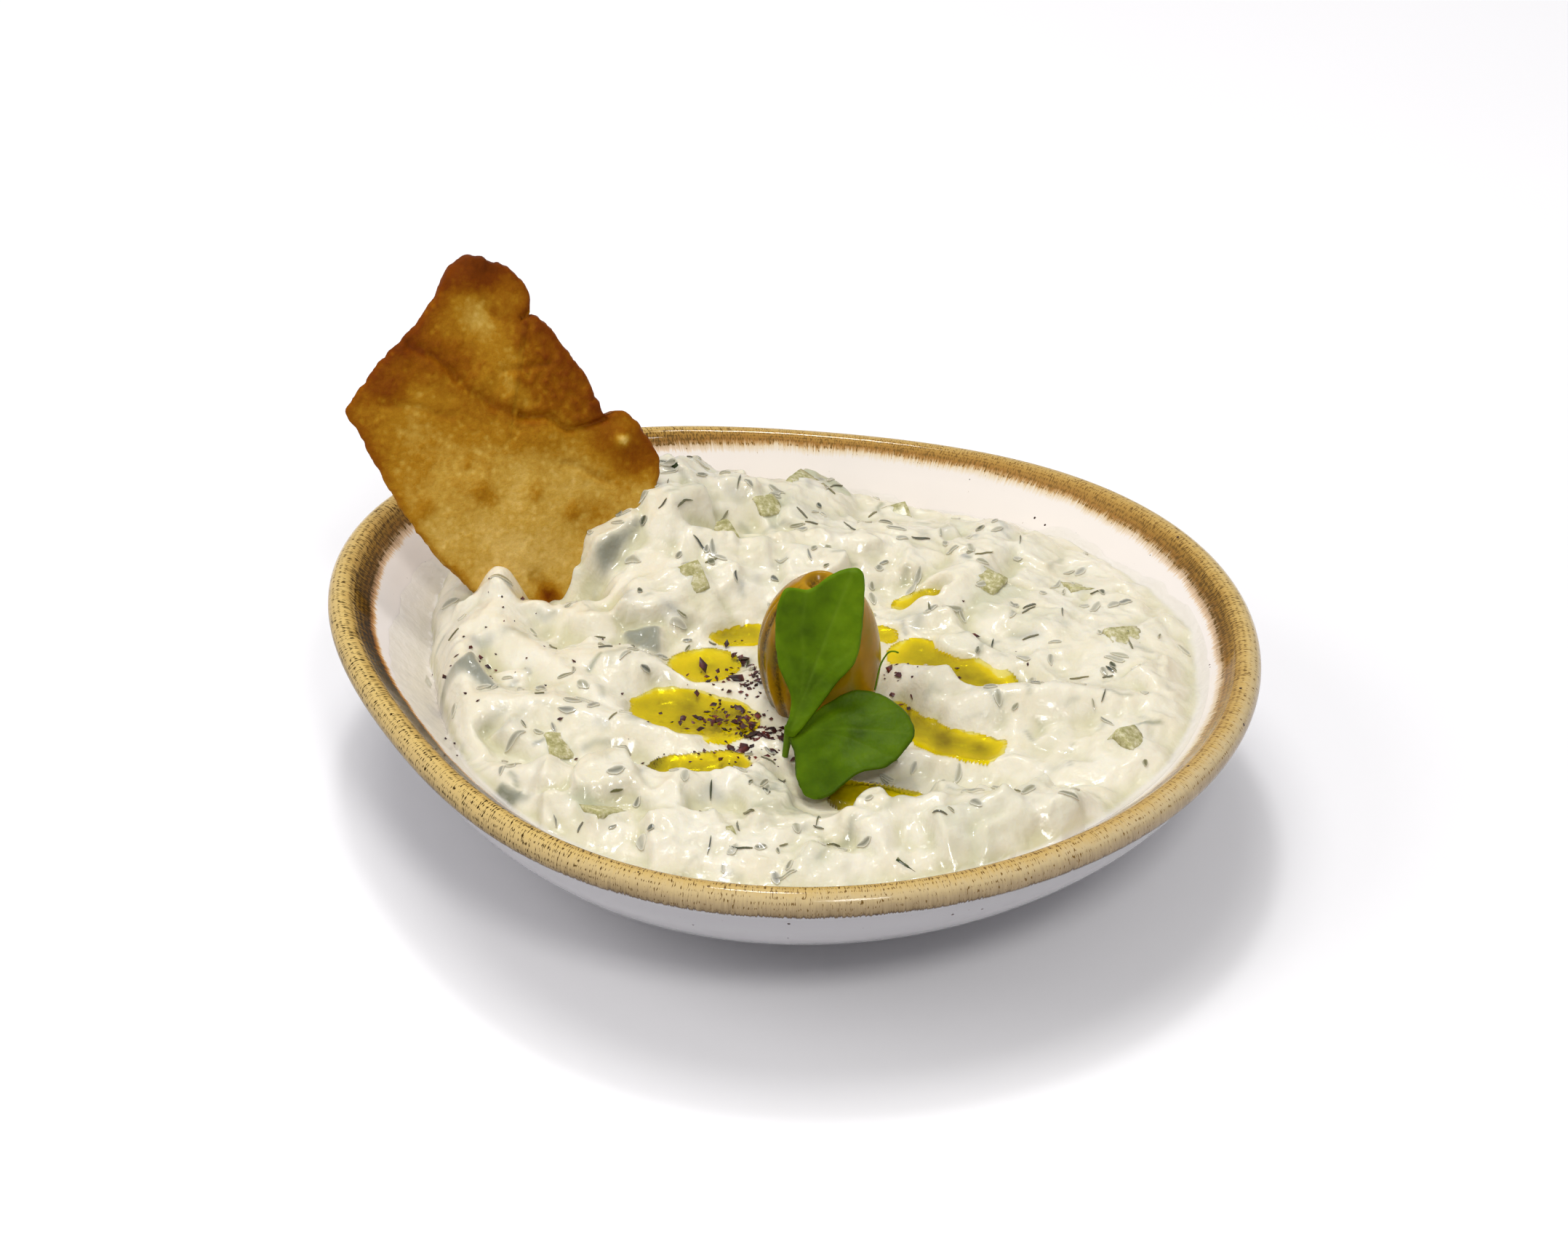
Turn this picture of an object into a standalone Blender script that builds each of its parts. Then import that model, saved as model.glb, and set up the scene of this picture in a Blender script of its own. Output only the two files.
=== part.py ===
"""Tzatziki served in its bowl: a glazed egg-shaped bowl, the dip mounded and swirled in it,
a pita chip stood in the dip, a whole green olive and a two-leaved sprig of herb.

Lengths below are in millimetres and are turned to metres when a mesh is made. Plan places
are measured from the middle of the egg, and heights from the table.
"""

import math

import bmesh
import bpy
import numpy as np
from mathutils import Matrix, Vector

MM = 0.001
GAP = 0.3
MERGE = 0.01
SPLINE_STEPS = 12

# Plan of the bowl: an egg whose narrow end points to NARROW_END, as a sum of cosines.
PLAN_CENTRE = (0.14, 2.85)
RIM_RADIUS = 87.6
NARROW_END = math.radians(143.4)
EGG_TERMS = ((2, 0.0558), (3, 0.0435), (4, 0.0118))

# Section of the bowl, as (inset from the rim, height) at the mean radius.
BOWL_HEIGHT = 38.0
LIP_RADIUS = 2.8
LIP_FROM = math.radians(150)
LIP_TO = math.radians(-60)
LIP_STEPS = 7
INNER_WALL = ((RIM_RADIUS, 7.8), (60, 8.4), (44, 10.8), (30, 16.5), (18, 24.8), (9.3, 33.0))
OUTER_WALL = ((2.2, 32.4), (6.8, 25.2), (15.5, 17.0), (27.3, 9.9), (39, 5.0))
FOOT_RING = ((43, 0.8), (43.8, 0.0), (47.6, 0.0), (48.4, 3.0), (RIM_RADIUS, 3.4))
BOWL_SECTORS = 60

# The dip: where its edge meets the wall, and how it rounds off there.
EDGE_INSET = 10.5
EDGE_SLUMPS = ((172, 34, 9.0), (112, 26, 6.5), (60, 22, 4.5), (28, 14, 2.0))
EDGE_ROLL = 5.5
DIP_GAP = 0.5
DIP_CELLS = 38
BED_LEVEL = 31.9
OIL_LEVEL = 32.0
BLEND = 0.5

# Ridges left by the spoon: width and steepness of the flank, then crest points (x, y, height).
RIDGES = {
    "lobe before the chip": (4.0, 1.6, ((-54, 17, 42), (-54, 9, 38))),
    "outer left ridge": (4.0, 1.0, ((-56, 10, 38), (-62, 4, 36), (-64, -8, 36), (-60, -24, 34.5))),
    "inner left ridge": (3.0, 1.0, ((-56, 5, 37), (-46, -6, 36.5), (-35, -18, 35.5), (-30, -22, 34))),
    "ridge below the chip": (3.0, 1.1, ((-50, 14, 36), (-43, 11, 35), (-36, 8, 36))),
    "left heap": (5.0, 0.9, ((-39, -5, 37), (-32, -7, 38), (-24, -9, 35.5))),
    "spoon stroke left": (3.5, 0.9, ((-56, -20, 36), (-44, -21, 36.5), (-33, -26, 35.5), (-20, -28, 34.5))),
    "front left crest": (4.0, 0.9, ((-53, -41, 34), (-40, -46, 36.5), (-20, -48, 37.5), (-9, -43, 37))),
    "front slope left": (9.0, 0.6, ((-48, -50, 33), (-25, -60, 34), (-5, -62, 34.5))),
    "front right crest": (4.0, 0.9, ((2, -57, 36.5), (14, -57, 37), (30, -58, 37.5), (50, -56, 38))),
    "front slope right": (9.0, 0.6, ((-3, -66, 34), (20, -68, 33.5), (44, -62, 34.5))),
    "lip of the oil pool": (2.0, 0.8, ((21, -36, 33.8), (30, -38, 33.4), (42, -38, 33.8))),
    "swirl ridge": (3.0, 1.1, ((28, -22, 35), (36, -20, 37.5), (50, -19, 38), (68, -19, 35.5))),
    "mound by the olive": (3.5, 1.0, ((18, -8, 35), (25, -13, 37.5), (34, -16, 36))),
    "right shelf": (12.0, 0.4, ((50, 12, 33.6), (64, 0, 33.8), (64, -34, 34.5))),
    "upper right ridge": (3.5, 0.9, ((27, 17, 35.5), (36, 30, 37), (42, 44, 36))),
    "back heap": (8.0, 1.0, ((-31, 37, 46.5), (-24, 46, 46), (-12, 50, 43), (2, 54, 39))),
    "back heap foot": (9.0, 0.7, ((-30, 22, 40.5), (-18, 26, 40), (4, 36, 38.5), (24, 40, 36))),
    "olive seat": (10.0, 0.6, ((0, -12, 35.2), (6, -21, 34.6))),
}

# Hollows: half width at LEVEL, LEVEL, and the path of the deepest line (x, y).
HOLLOWS = {
    "left pool": (6.5, OIL_LEVEL, ((-25, -15), (-18, -19), (-12, -21))),
    "upper left pool": (4.5, OIL_LEVEL, ((-17, 0), (-16, -5))),
    "back pool": (3.3, OIL_LEVEL, ((-11, 9), (-8, 10))),
    "front left pool": (3.6, OIL_LEVEL, ((-22, -36), (-12, -36))),
    "front pool": (3.2, OIL_LEVEL, ((8, -42), (15, -44), (21, -44))),
    "right pool": (4.0, OIL_LEVEL, ((21, -17), (25, -26), (33, -31), (41, -29))),
    "upper right pool": (4.2, OIL_LEVEL, ((25, 1), (31, -4), (37, -8))),
    "thin right pool": (2.2, OIL_LEVEL, ((16, 16), (22, 21), (27, 25))),
    "left groove": (4.0, 31.6, ((-57, -30), (-44, -35), (-26, -37))),
    "front hollow": (6.0, 31.2, ((22, -46), (32, -46), (42, -48))),
    "notch at the chip": (2.5, 31.5, ((-44, 20), (-40, 18))),
    "under the leaf": (5.0, 30.8, ((7, -47), (3, -39), (16, -38))),
}
HOLLOW_DEPTH = 1.5
HOLLOW_POWER = 3

# Diced cucumber under the surface: (x, y, height of its top).
LUMPS = (
    (-65, -6, 36.5), (-23, -62, 35.5), (-34, -56, 36), (-13, -65, 35.5), (-8, -50, 37.5), (-2, -55, 37),
    (28, -63, 37), (38, -58, 39), (35, -67, 35.5), (50, -59, 38), (20, -70, 34.5), (62, -33, 36),
    (38, 25, 35.5), (57, 26, 35.5), (46, 38, 36), (-14, 37, 42.5), (-22, 48, 47), (2, 46, 41),
    (-20, 20, 40.5), (22, 55, 35.5), (67, -10, 35), (-60, -27, 35.5), (15, -65, 36.5),
    (-43, -54, 35.5), (64, 5, 34.5),
)
LUMP_WIDTH = 3.0
LUMP_STEEPNESS = 1.1

# Pita chip: a torn rhombus, in its own plane (across, up), leaning back in the dip.
CHIP_PLACE = (-62, 20, 33)
CHIP_FACING = math.radians(-70)
CHIP_LEAN = math.radians(68)
CHIP_THICKNESS = 3.4
CHIP_OUTLINE = (
    (9.6, 66), (13, 64.6), (17.4, 61.8), (19.7, 56.5), (21, 51.8), (27.5, 42), (31.6, 31.6), (36.4, 30.6),
    (39.4, 26.2), (41.3, 18.5), (37, 6), (29, -4), (20, -10), (11, -10), (4, -3), (-5.5, 8.7), (-10.6, 18),
    (-14.3, 26.9), (-17.3, 35.6), (-18.7, 40.4), (-15.8, 43.8), (-9.5, 47.2), (-4, 51.2), (0.6, 55.6),
    (4.2, 62),
)
CHIP_MIDDLE = (11, 27)
# Blisters and dents of the fried dough: (across, up, radius, rise).
CHIP_BLISTERS = (
    (38, 24, 6, 1.6), (26, 40, 9, 1.3), (12, 58, 7, 1.0), (2, 12, 5, 0.7), (-12, 36, 7, 1.2),
    (14, 30, 10, -0.9), (22, 12, 9, -0.8), (-2, 30, 8, -0.5),
)
CHIP_CURL = 0.0016
CHIP_POINTS = 54
CHIP_RINGS = (0.955, 0.78, 0.54, 0.28)

# Olive: stands on its end, its stem hole up.
OLIVE_PLACE = (5.6, -17.5, 43.0)
OLIVE_RADIUS = 11.5
OLIVE_HALF_HEIGHT = 17.4
OLIVE_LEAN = math.radians(5)
OLIVE_SECTORS = 28
OLIVE_RINGS = 15
STEM_HOLE_RADIUS = 2.2
STEM_HOLE_DEPTH = 1.8

# Sprig: two leaves from one joint, on a stalk that is pushed into the dip.
JOINT = (0.1, -35.0, 38.1)
LEAF_THICKNESS = 0.8
LEAF_POINTS = 30
LEAF_RINGS = (0.9, 0.6, 0.3)
LEAF_LONG_CUP = 0.2
# Points down the stalk, and its radius at each (x, y, z, radius).
STALK = (
    (0.1, -35.0, 38.3, 1.1), (-0.3, -34.8, 36.0, 0.8), (-0.8, -34.2, 32.0, 0.6), (-1.2, -33.8, 28.0, 0.5),
)
TALL_LEAF = {
    "across": (0.928, -0.046, -0.369),
    "along": (0.36, 0.36, 0.86),
    "middle": (-1.0, 17.0),
    "cup": 0.016,
    "outline": (
        (-0.9, -0.9), (1.2, -0.9), (2.7, 3), (4.9, 11), (6.6, 16.5), (4.8, 24.5), (2.3, 31), (0, 31.9),
        (-3.2, 29.5), (-6.2, 25.4), (-10.5, 24), (-10, 18), (-6.6, 10.7), (-2.4, 6), (-1.2, 2.5),
    ),
}
LOW_LEAF = {
    "across": (0.989, -0.058, 0.139),
    "along": (0, 0.923, 0.385),
    "middle": (11.5, -3.5),
    "cup": -0.010,
    "outline": (
        (-0.9, 0.6), (0.9, 1.1), (7.8, 5.6), (13, 7.5), (19.9, 3.8), (22.7, -3), (18, -9.6), (12.5, -11.3),
        (6.8, -15.2), (3, -14.8), (0.9, -10), (0.6, -5), (-0.7, -1.0),
    ),
}


def to_world(x, y, z):
    """A point of the plan as a vector in metres."""
    return Vector(((x + PLAN_CENTRE[0]) * MM, (y + PLAN_CENTRE[1]) * MM, z * MM))


def egg(angle):
    """How far the egg's edge lies from its middle in this direction, against its mean radius."""
    turned = angle - NARROW_END
    return 1 + sum(size * np.cos(times * turned) for times, size in EGG_TERMS)


def inset(x, y):
    """How far inside the rim a plan point lies, on the scale of the mean radius."""
    return RIM_RADIUS - np.hypot(x, y) / egg(np.arctan2(y, x))


def wall_height(inset_from_rim):
    """Height of the bowl's inner face."""
    insets, heights = zip(*reversed(INNER_WALL))
    return np.interp(inset_from_rim, insets, heights)


def edge_inset(angle):
    """How far inside the rim the dip's edge lies in this direction."""
    total = EDGE_INSET
    for direction, spread, extra in EDGE_SLUMPS:
        turned = np.degrees(angle) - direction
        wrapped = (turned + 180) % 360 - 180
        total = total + extra * np.exp(-((wrapped / spread) ** 2))
    return total


def nearest_on_path(x, y, path):
    """Distance from each plan point to a polyline, and the height or zero read off it there."""
    nearest = np.full(np.shape(x), np.inf)
    read = np.zeros(np.shape(x))
    for start, end in zip(path, path[1:]):
        run = (end[0] - start[0], end[1] - start[1])
        along = (x - start[0]) * run[0] + (y - start[1]) * run[1]
        along = np.clip(along / (run[0] ** 2 + run[1] ** 2), 0, 1)
        distance = np.hypot(x - start[0] - along * run[0], y - start[1] - along * run[1])
        closer = distance < nearest
        nearest = np.where(closer, distance, nearest)
        if len(start) == 3:
            read = np.where(closer, start[2] + along * (end[2] - start[2]), read)
    return nearest, read


def flank(crest, distance, width, steepness):
    """A round crest that falls away with straight flanks."""
    return crest - steepness * (np.sqrt(width**2 + distance**2) - width)


def raise_to(height, form):
    """Smooth maximum of two heights."""
    return BLEND * np.logaddexp(height / BLEND, form / BLEND)


def lower_to(height, form):
    """Smooth minimum of two heights."""
    return -BLEND * np.logaddexp(-height / BLEND, -form / BLEND)


def dip_form(x, y):
    """Height of the dip's ridges, hollows and lumps, before it rounds off at the wall."""
    height = np.full(np.shape(x), BED_LEVEL)
    for width, steepness, path in RIDGES.values():
        distance, crest = nearest_on_path(x, y, path)
        height = raise_to(height, flank(crest, distance, width, steepness))
    for half_width, level, path in HOLLOWS.values():
        distance, _ = nearest_on_path(x, y, path)
        floor = level + HOLLOW_DEPTH * ((distance / half_width) ** HOLLOW_POWER - 1)
        height = lower_to(height, floor)
    for lump_x, lump_y, top in LUMPS:
        distance = np.hypot(x - lump_x, y - lump_y)
        height = raise_to(height, flank(top, distance, LUMP_WIDTH, LUMP_STEEPNESS))
    return height


def dip_top(x, y):
    """Height of the dip's surface: its form, rounded off down to the wall at the edge."""
    angle = np.arctan2(y, x)
    base = wall_height(inset(x, y)) + DIP_GAP
    inside = np.clip((inset(x, y) - edge_inset(angle)) / EDGE_ROLL, 0, 1)
    roundness = np.sqrt(1 - (1 - inside) ** 2)
    return base + np.maximum(dip_form(x, y) - base, 0) * roundness


def new_collection(name, hidden=False):
    collection = bpy.data.collections.new(name)
    bpy.context.scene.collection.children.link(collection)
    collection.hide_render = hidden
    return collection


def new_material(name, colour, roughness):
    material = bpy.data.materials.new(name)
    material.use_nodes = True
    shader = material.node_tree.nodes["Principled BSDF"]
    shader.inputs["Base Color"].default_value = (*colour, 1)
    shader.inputs["Roughness"].default_value = roughness
    shader.inputs["Metallic"].default_value = 0.0
    return material


def new_object(name, mesh, collection, material=None):
    thing = bpy.data.objects.new(name, mesh)
    collection.objects.link(thing)
    if material:
        mesh.materials.append(material)
    return thing


def from_bmesh(name, shape, collection, material=None):
    """An object of this bmesh, its faces turned out and shaded smooth."""
    bmesh.ops.recalc_face_normals(shape, faces=shape.faces)
    mesh = bpy.data.meshes.new(name)
    shape.to_mesh(mesh)
    shape.free()
    mesh.shade_smooth()
    return new_object(name, mesh, collection, material)


def cutter_of(thing):
    thing.hide_render = True
    thing.display_type = "WIRE"
    return thing


def add_boolean(thing, other, operation):
    boolean = thing.modifiers.new(f"{operation.lower()} {other.name}", "BOOLEAN")
    boolean.operation = operation
    boolean.solver = "EXACT"
    boolean.object = other


def closed_spline(points, pieces):
    """Even points round a closed smooth curve through the given ones."""
    corners = np.array(points, float)
    steps = np.linspace(0, 1, SPLINE_STEPS, endpoint=False)[:, None]
    curve = []
    for i in range(len(corners)):
        before, start, end, after = (corners[(i + k) % len(corners)] for k in (-1, 0, 1, 2))
        curve.append(
            0.5 * (2 * start + (end - before) * steps)
            + 0.5 * (2 * before - 5 * start + 4 * end - after) * steps**2
            + 0.5 * (3 * start - before - 3 * end + after) * steps**3
        )
    curve = np.concatenate(curve)
    closed = np.vstack([curve, curve[:1]])
    lengths = np.concatenate([[0], np.cumsum(np.hypot(*np.diff(closed, axis=0).T))])
    wanted = np.linspace(0, lengths[-1], pieces, endpoint=False)
    return np.stack([np.interp(wanted, lengths, closed[:, k]) for k in (0, 1)], axis=1)


def slab(outline, middle, fractions, thickness, lift, place, grow=0.0):
    """A thin solid with a round edge, filling a flat outline and bent by lift(across, up).

    place turns (across, up, out) into a point in metres. grow widens it all round.
    """
    spokes = outline - np.array(middle)
    reach = np.hypot(*spokes.T)[:, None]
    spokes = spokes * (reach + grow) / reach
    count = len(outline)
    shape = bmesh.new()

    def ring(fraction, side):
        made = []
        for across, up in (middle + spokes * fraction).tolist():
            out = lift(across, up) + side * (thickness / 2 + grow)
            made.append(shape.verts.new(place(across, up, out)))
        return made

    rim = ring(1.0, 0)
    for side in (1, -1):
        rings = [rim] + [ring(fraction, side) for fraction in fractions]
        for outer, inner in zip(rings, rings[1:]):
            for i in range(count):
                j = (i + 1) % count
                shape.faces.new((outer[i], outer[j], inner[j], inner[i]))
        top = lift(middle[0], middle[1]) + side * (thickness / 2 + grow)
        tip = shape.verts.new(place(middle[0], middle[1], top))
        for i in range(count):
            shape.faces.new((rings[-1][i], rings[-1][(i + 1) % count], tip))
    return shape


def make_bowl(collection, material):
    """The profile is turned, and each ring of it is then pressed to the egg."""
    profile = [(RIM_RADIUS - step_in, height) for step_in, height in INNER_WALL]
    for i in range(LIP_STEPS + 1):
        angle = LIP_FROM + (LIP_TO - LIP_FROM) * i / LIP_STEPS
        radius = RIM_RADIUS - LIP_RADIUS + LIP_RADIUS * math.cos(angle)
        profile.append((radius, BOWL_HEIGHT - LIP_RADIUS + LIP_RADIUS * math.sin(angle)))
    profile += [(RIM_RADIUS - step_in, height) for step_in, height in OUTER_WALL + FOOT_RING]
    mesh = bpy.data.meshes.new("bowl profile")
    points = [(radius * MM, 0, height * MM) for radius, height in profile]
    mesh.from_pydata(points, [(i, i + 1) for i in range(len(points) - 1)], [])
    turned = new_object("bowl profile", mesh, collection)
    screw = turned.modifiers.new("turn", "SCREW")
    screw.steps = screw.render_steps = BOWL_SECTORS
    screw.use_merge_vertices = True
    screw.merge_threshold = MERGE * MM
    graph = bpy.context.evaluated_depsgraph_get()
    mesh = bpy.data.meshes.new_from_object(turned.evaluated_get(graph))
    mesh.name = "bowl"
    bpy.data.objects.remove(turned)
    for vertex in mesh.vertices:
        x, y, z = vertex.co / MM
        swell = float(egg(math.atan2(y, x)))
        vertex.co = to_world(x * swell, y * swell, z)
    mesh.shade_smooth()
    return new_object("bowl", mesh, collection, material)


def make_dip(collection, material):
    """A square grid spread over the egg carries the surface, and rings below follow the wall."""
    cells = DIP_CELLS
    shape = bmesh.new()
    steps = np.linspace(-1, 1, cells + 1)
    grid = {}
    for i, a in enumerate(steps):
        for j, b in enumerate(steps):
            if abs(a) > abs(b):
                radius, angle = a, math.pi / 4 * b / a
            elif b:
                radius, angle = b, math.pi / 2 - math.pi / 4 * a / b
            else:
                radius, angle = 0.0, 0.0
            if radius < 0:
                radius, angle = -radius, angle + math.pi
            reach = (RIM_RADIUS - edge_inset(angle)) * egg(angle) * radius
            x, y = reach * math.cos(angle), reach * math.sin(angle)
            grid[i, j] = shape.verts.new(to_world(x, y, float(dip_top(x, y))))
    for i in range(cells):
        for j in range(cells):
            shape.faces.new((grid[i, j], grid[i + 1, j], grid[i + 1, j + 1], grid[i, j + 1]))
    edge = [grid[i, 0] for i in range(cells)] + [grid[cells, j] for j in range(cells)]
    edge += [grid[i, cells] for i in range(cells, 0, -1)] + [grid[0, j] for j in range(cells, 0, -1)]
    above = edge
    for step_in, height in reversed(INNER_WALL[1:4]):
        below = []
        for vertex in edge:
            x = vertex.co.x / MM - PLAN_CENTRE[0]
            y = vertex.co.y / MM - PLAN_CENTRE[1]
            angle = math.atan2(y, x)
            reach = (RIM_RADIUS - step_in) * egg(angle)
            place = to_world(reach * math.cos(angle), reach * math.sin(angle), height + DIP_GAP)
            below.append(shape.verts.new(place))
        for i in range(len(edge)):
            j = (i + 1) % len(edge)
            shape.faces.new((above[j], above[i], below[i], below[j]))
        above = below
    bottom = shape.verts.new(to_world(0, 0, INNER_WALL[0][1] + DIP_GAP))
    for i in range(len(edge)):
        shape.faces.new((above[(i + 1) % len(edge)], above[i], bottom))
    bmesh.ops.triangulate(shape, faces=shape.faces)
    return from_bmesh("dip", shape, collection, material)


def chip_lift(across, up):
    """The chip curls gently about its upright middle line, and has blisters and dents."""
    out = -CHIP_CURL * (across - CHIP_MIDDLE[0]) ** 2
    for blister_across, blister_up, radius, rise in CHIP_BLISTERS:
        distance = math.hypot(across - blister_across, up - blister_up)
        out += rise * math.exp(-((distance / radius) ** 2))
    return out


def make_chip(name, collection, material=None, grow=0.0):
    normal = Vector((
        math.cos(CHIP_FACING) * math.sin(CHIP_LEAN),
        math.sin(CHIP_FACING) * math.sin(CHIP_LEAN),
        math.cos(CHIP_LEAN),
    ))
    across_way = Vector((-math.sin(CHIP_FACING), math.cos(CHIP_FACING), 0))
    up_way = normal.cross(across_way)

    def place(across, up, out):
        return to_world(*(Vector(CHIP_PLACE) + across * across_way + up * up_way + out * normal))

    outline = closed_spline(CHIP_OUTLINE, CHIP_POINTS)
    shape = slab(outline, CHIP_MIDDLE, CHIP_RINGS, CHIP_THICKNESS, chip_lift, place, grow)
    return from_bmesh(name, shape, collection, material)


def make_olive(name, collection, material=None, grow=0.0):
    """A drawn-out sphere with a stem hole pressed into its upper end."""
    shape = bmesh.new()
    bmesh.ops.create_uvsphere(shape, u_segments=OLIVE_SECTORS, v_segments=OLIVE_RINGS, radius=1.0)
    lean = Matrix.Rotation(OLIVE_LEAN, 3, "X")
    for vertex in shape.verts:
        x, y, z = vertex.co
        radius = OLIVE_RADIUS + grow
        half_height = OLIVE_HALF_HEIGHT + grow
        point = Vector((x * radius, y * radius, z * half_height))
        if z > 0:
            reach = math.hypot(point.x, point.y) / STEM_HOLE_RADIUS
            point.z -= STEM_HOLE_DEPTH * math.exp(-(reach**4))
        vertex.co = to_world(*(Vector(OLIVE_PLACE) + lean @ point))
    return from_bmesh(name, shape, collection, material)


def make_leaf(name, leaf, collection):
    across_way = Vector(leaf["across"]).normalized()
    up_way = Vector(leaf["along"])
    up_way = (up_way - across_way * up_way.dot(across_way)).normalized()
    normal = across_way.cross(up_way)
    outline = closed_spline(leaf["outline"], LEAF_POINTS)

    def lift(across, up):
        long_part = LEAF_LONG_CUP * (up - leaf["middle"][1]) ** 2
        return leaf["cup"] * ((across - leaf["middle"][0]) ** 2 + long_part)

    def place(across, up, out):
        return to_world(*(Vector(JOINT) + across * across_way + up * up_way + out * normal))

    shape = slab(outline, leaf["middle"], LEAF_RINGS, LEAF_THICKNESS, lift, place)
    return from_bmesh(name, shape, collection)


def make_stalk(name, collection, grow=0.0):
    """A tapering tube along a curve, made a mesh so that it can be joined and can cut."""
    curve = bpy.data.curves.new(name, "CURVE")
    curve.dimensions = "3D"
    curve.bevel_depth = MM
    curve.bevel_resolution = 2
    curve.use_fill_caps = True
    spline = curve.splines.new("POLY")
    spline.points.add(len(STALK) - 1)
    for point, (x, y, z, radius) in zip(spline.points, STALK):
        point.co = (*to_world(x, y, z), 1)
        point.radius = radius + grow
    tube = new_object(name, curve, collection)
    graph = bpy.context.evaluated_depsgraph_get()
    mesh = bpy.data.meshes.new_from_object(tube.evaluated_get(graph))
    bpy.data.objects.remove(tube)
    shape = bmesh.new()
    shape.from_mesh(mesh)
    bpy.data.meshes.remove(mesh)
    bmesh.ops.remove_doubles(shape, verts=shape.verts, dist=MERGE * MM)
    return from_bmesh(name, shape, collection)


def main():
    for thing in list(bpy.data.objects):
        bpy.data.objects.remove(thing)
    parts = new_collection("tzatziki_dip")
    cutters = new_collection("cutters", hidden=True)
    glaze = new_material("speckled glaze", (0.80, 0.77, 0.72), 0.15)
    cream = new_material("strained yoghurt", (0.90, 0.86, 0.74), 0.30)
    crust = new_material("fried pita", (0.42, 0.20, 0.05), 0.50)
    flesh = new_material("olive flesh", (0.24, 0.16, 0.01), 0.25)
    leaf_green = new_material("leaf", (0.08, 0.13, 0.01), 0.40)

    make_bowl(parts, glaze)
    dip = make_dip(parts, cream)
    make_chip("pita_chip", parts, crust)
    make_olive("olive", parts, flesh)

    stalk = make_stalk("herb_sprig", parts)
    stalk.data.materials.append(leaf_green)
    for name, leaf in (("tall leaf", TALL_LEAF), ("low leaf", LOW_LEAF)):
        add_boolean(stalk, cutter_of(make_leaf(name, leaf, cutters)), "UNION")

    slot = cutter_of(make_chip("chip slot", cutters, grow=GAP))
    seat = cutter_of(make_olive("olive socket", cutters, grow=GAP))
    hole = cutter_of(make_stalk("stalk hole", cutters, grow=GAP))
    for cutter in (slot, seat, hole):
        add_boolean(dip, cutter, "DIFFERENCE")


main()
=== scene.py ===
"""Tzatziki served in its bowl: the looks of each piece, in the order that a cook puts them together."""

import math

import bmesh
import bpy
import numpy as np
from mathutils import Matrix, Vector, noise
from mathutils.bvhtree import BVHTree


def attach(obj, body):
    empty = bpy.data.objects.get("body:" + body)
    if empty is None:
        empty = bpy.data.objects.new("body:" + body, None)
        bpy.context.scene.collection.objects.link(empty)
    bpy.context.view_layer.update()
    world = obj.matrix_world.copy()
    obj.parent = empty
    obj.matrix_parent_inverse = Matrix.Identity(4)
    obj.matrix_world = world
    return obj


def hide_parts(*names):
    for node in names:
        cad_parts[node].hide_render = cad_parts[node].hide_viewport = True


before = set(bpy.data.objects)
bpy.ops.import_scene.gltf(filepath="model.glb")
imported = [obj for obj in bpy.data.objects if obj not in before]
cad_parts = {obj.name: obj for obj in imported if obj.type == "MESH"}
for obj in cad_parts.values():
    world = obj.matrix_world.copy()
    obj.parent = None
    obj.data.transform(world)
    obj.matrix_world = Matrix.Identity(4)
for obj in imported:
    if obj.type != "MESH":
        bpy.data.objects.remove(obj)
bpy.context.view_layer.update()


# ---------------------------------------------------------------------------------------
# Bowl. Stoneware thrown as an egg and dipped in a white glaze with iron specks; the rim is
# brushed with a reactive glaze that ran in the kiln, gold outside and burnt on its inner side.
# It stands on a turned foot ring.

MM = 0.001
PLAN_CENTRE = (0.14, 2.85)
RIM_RADIUS = 87.6
NARROW_END = math.radians(143.4)
EGG_TERMS = ((2, 0.0558), (3, 0.0435), (4, 0.0118))
BOWL_HEIGHT = 38.0
LIP_RADIUS = 2.8
LIP_ARC = (150, -60)
INNER_WALL = ((RIM_RADIUS, 7.8), (60, 8.4), (44, 10.8), (30, 16.5), (18, 24.8), (9.3, 33.0))
OUTER_WALL = ((2.2, 32.4), (6.8, 25.2), (15.5, 17.0), (27.3, 9.9), (39, 5.0))
FOOT_RING = (
    (43, 0.9), (43.3, 0.25), (43.9, 0), (47.5, 0), (48.0, 0.3), (48.4, 3.0), (49.5, 3.3),
    (RIM_RADIUS, 3.4),
)
BOWL_SECTORS = 420
WELD = 0.002
FOLD = math.radians(100)


def egg(angle):
    """How far the egg's edge lies from its middle in this direction, against its mean radius."""
    turned = angle - NARROW_END
    return 1 + sum(size * np.cos(times * turned) for times, size in EGG_TERMS)


def inset(x, y):
    """How far inside the rim a plan point lies, on the scale of the mean radius."""
    return RIM_RADIUS - np.hypot(x, y) / egg(np.arctan2(y, x))


def plus_slumps(base, slumps, angle):
    """A width round the edge, with smooth swellings given by direction, spread and size."""
    total = np.full(np.shape(angle), base)
    for direction, spread, extra in slumps:
        turned = (np.degrees(angle) - direction + 180) % 360 - 180
        total = total + extra * np.exp(-((turned / spread) ** 2))
    return total


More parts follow.
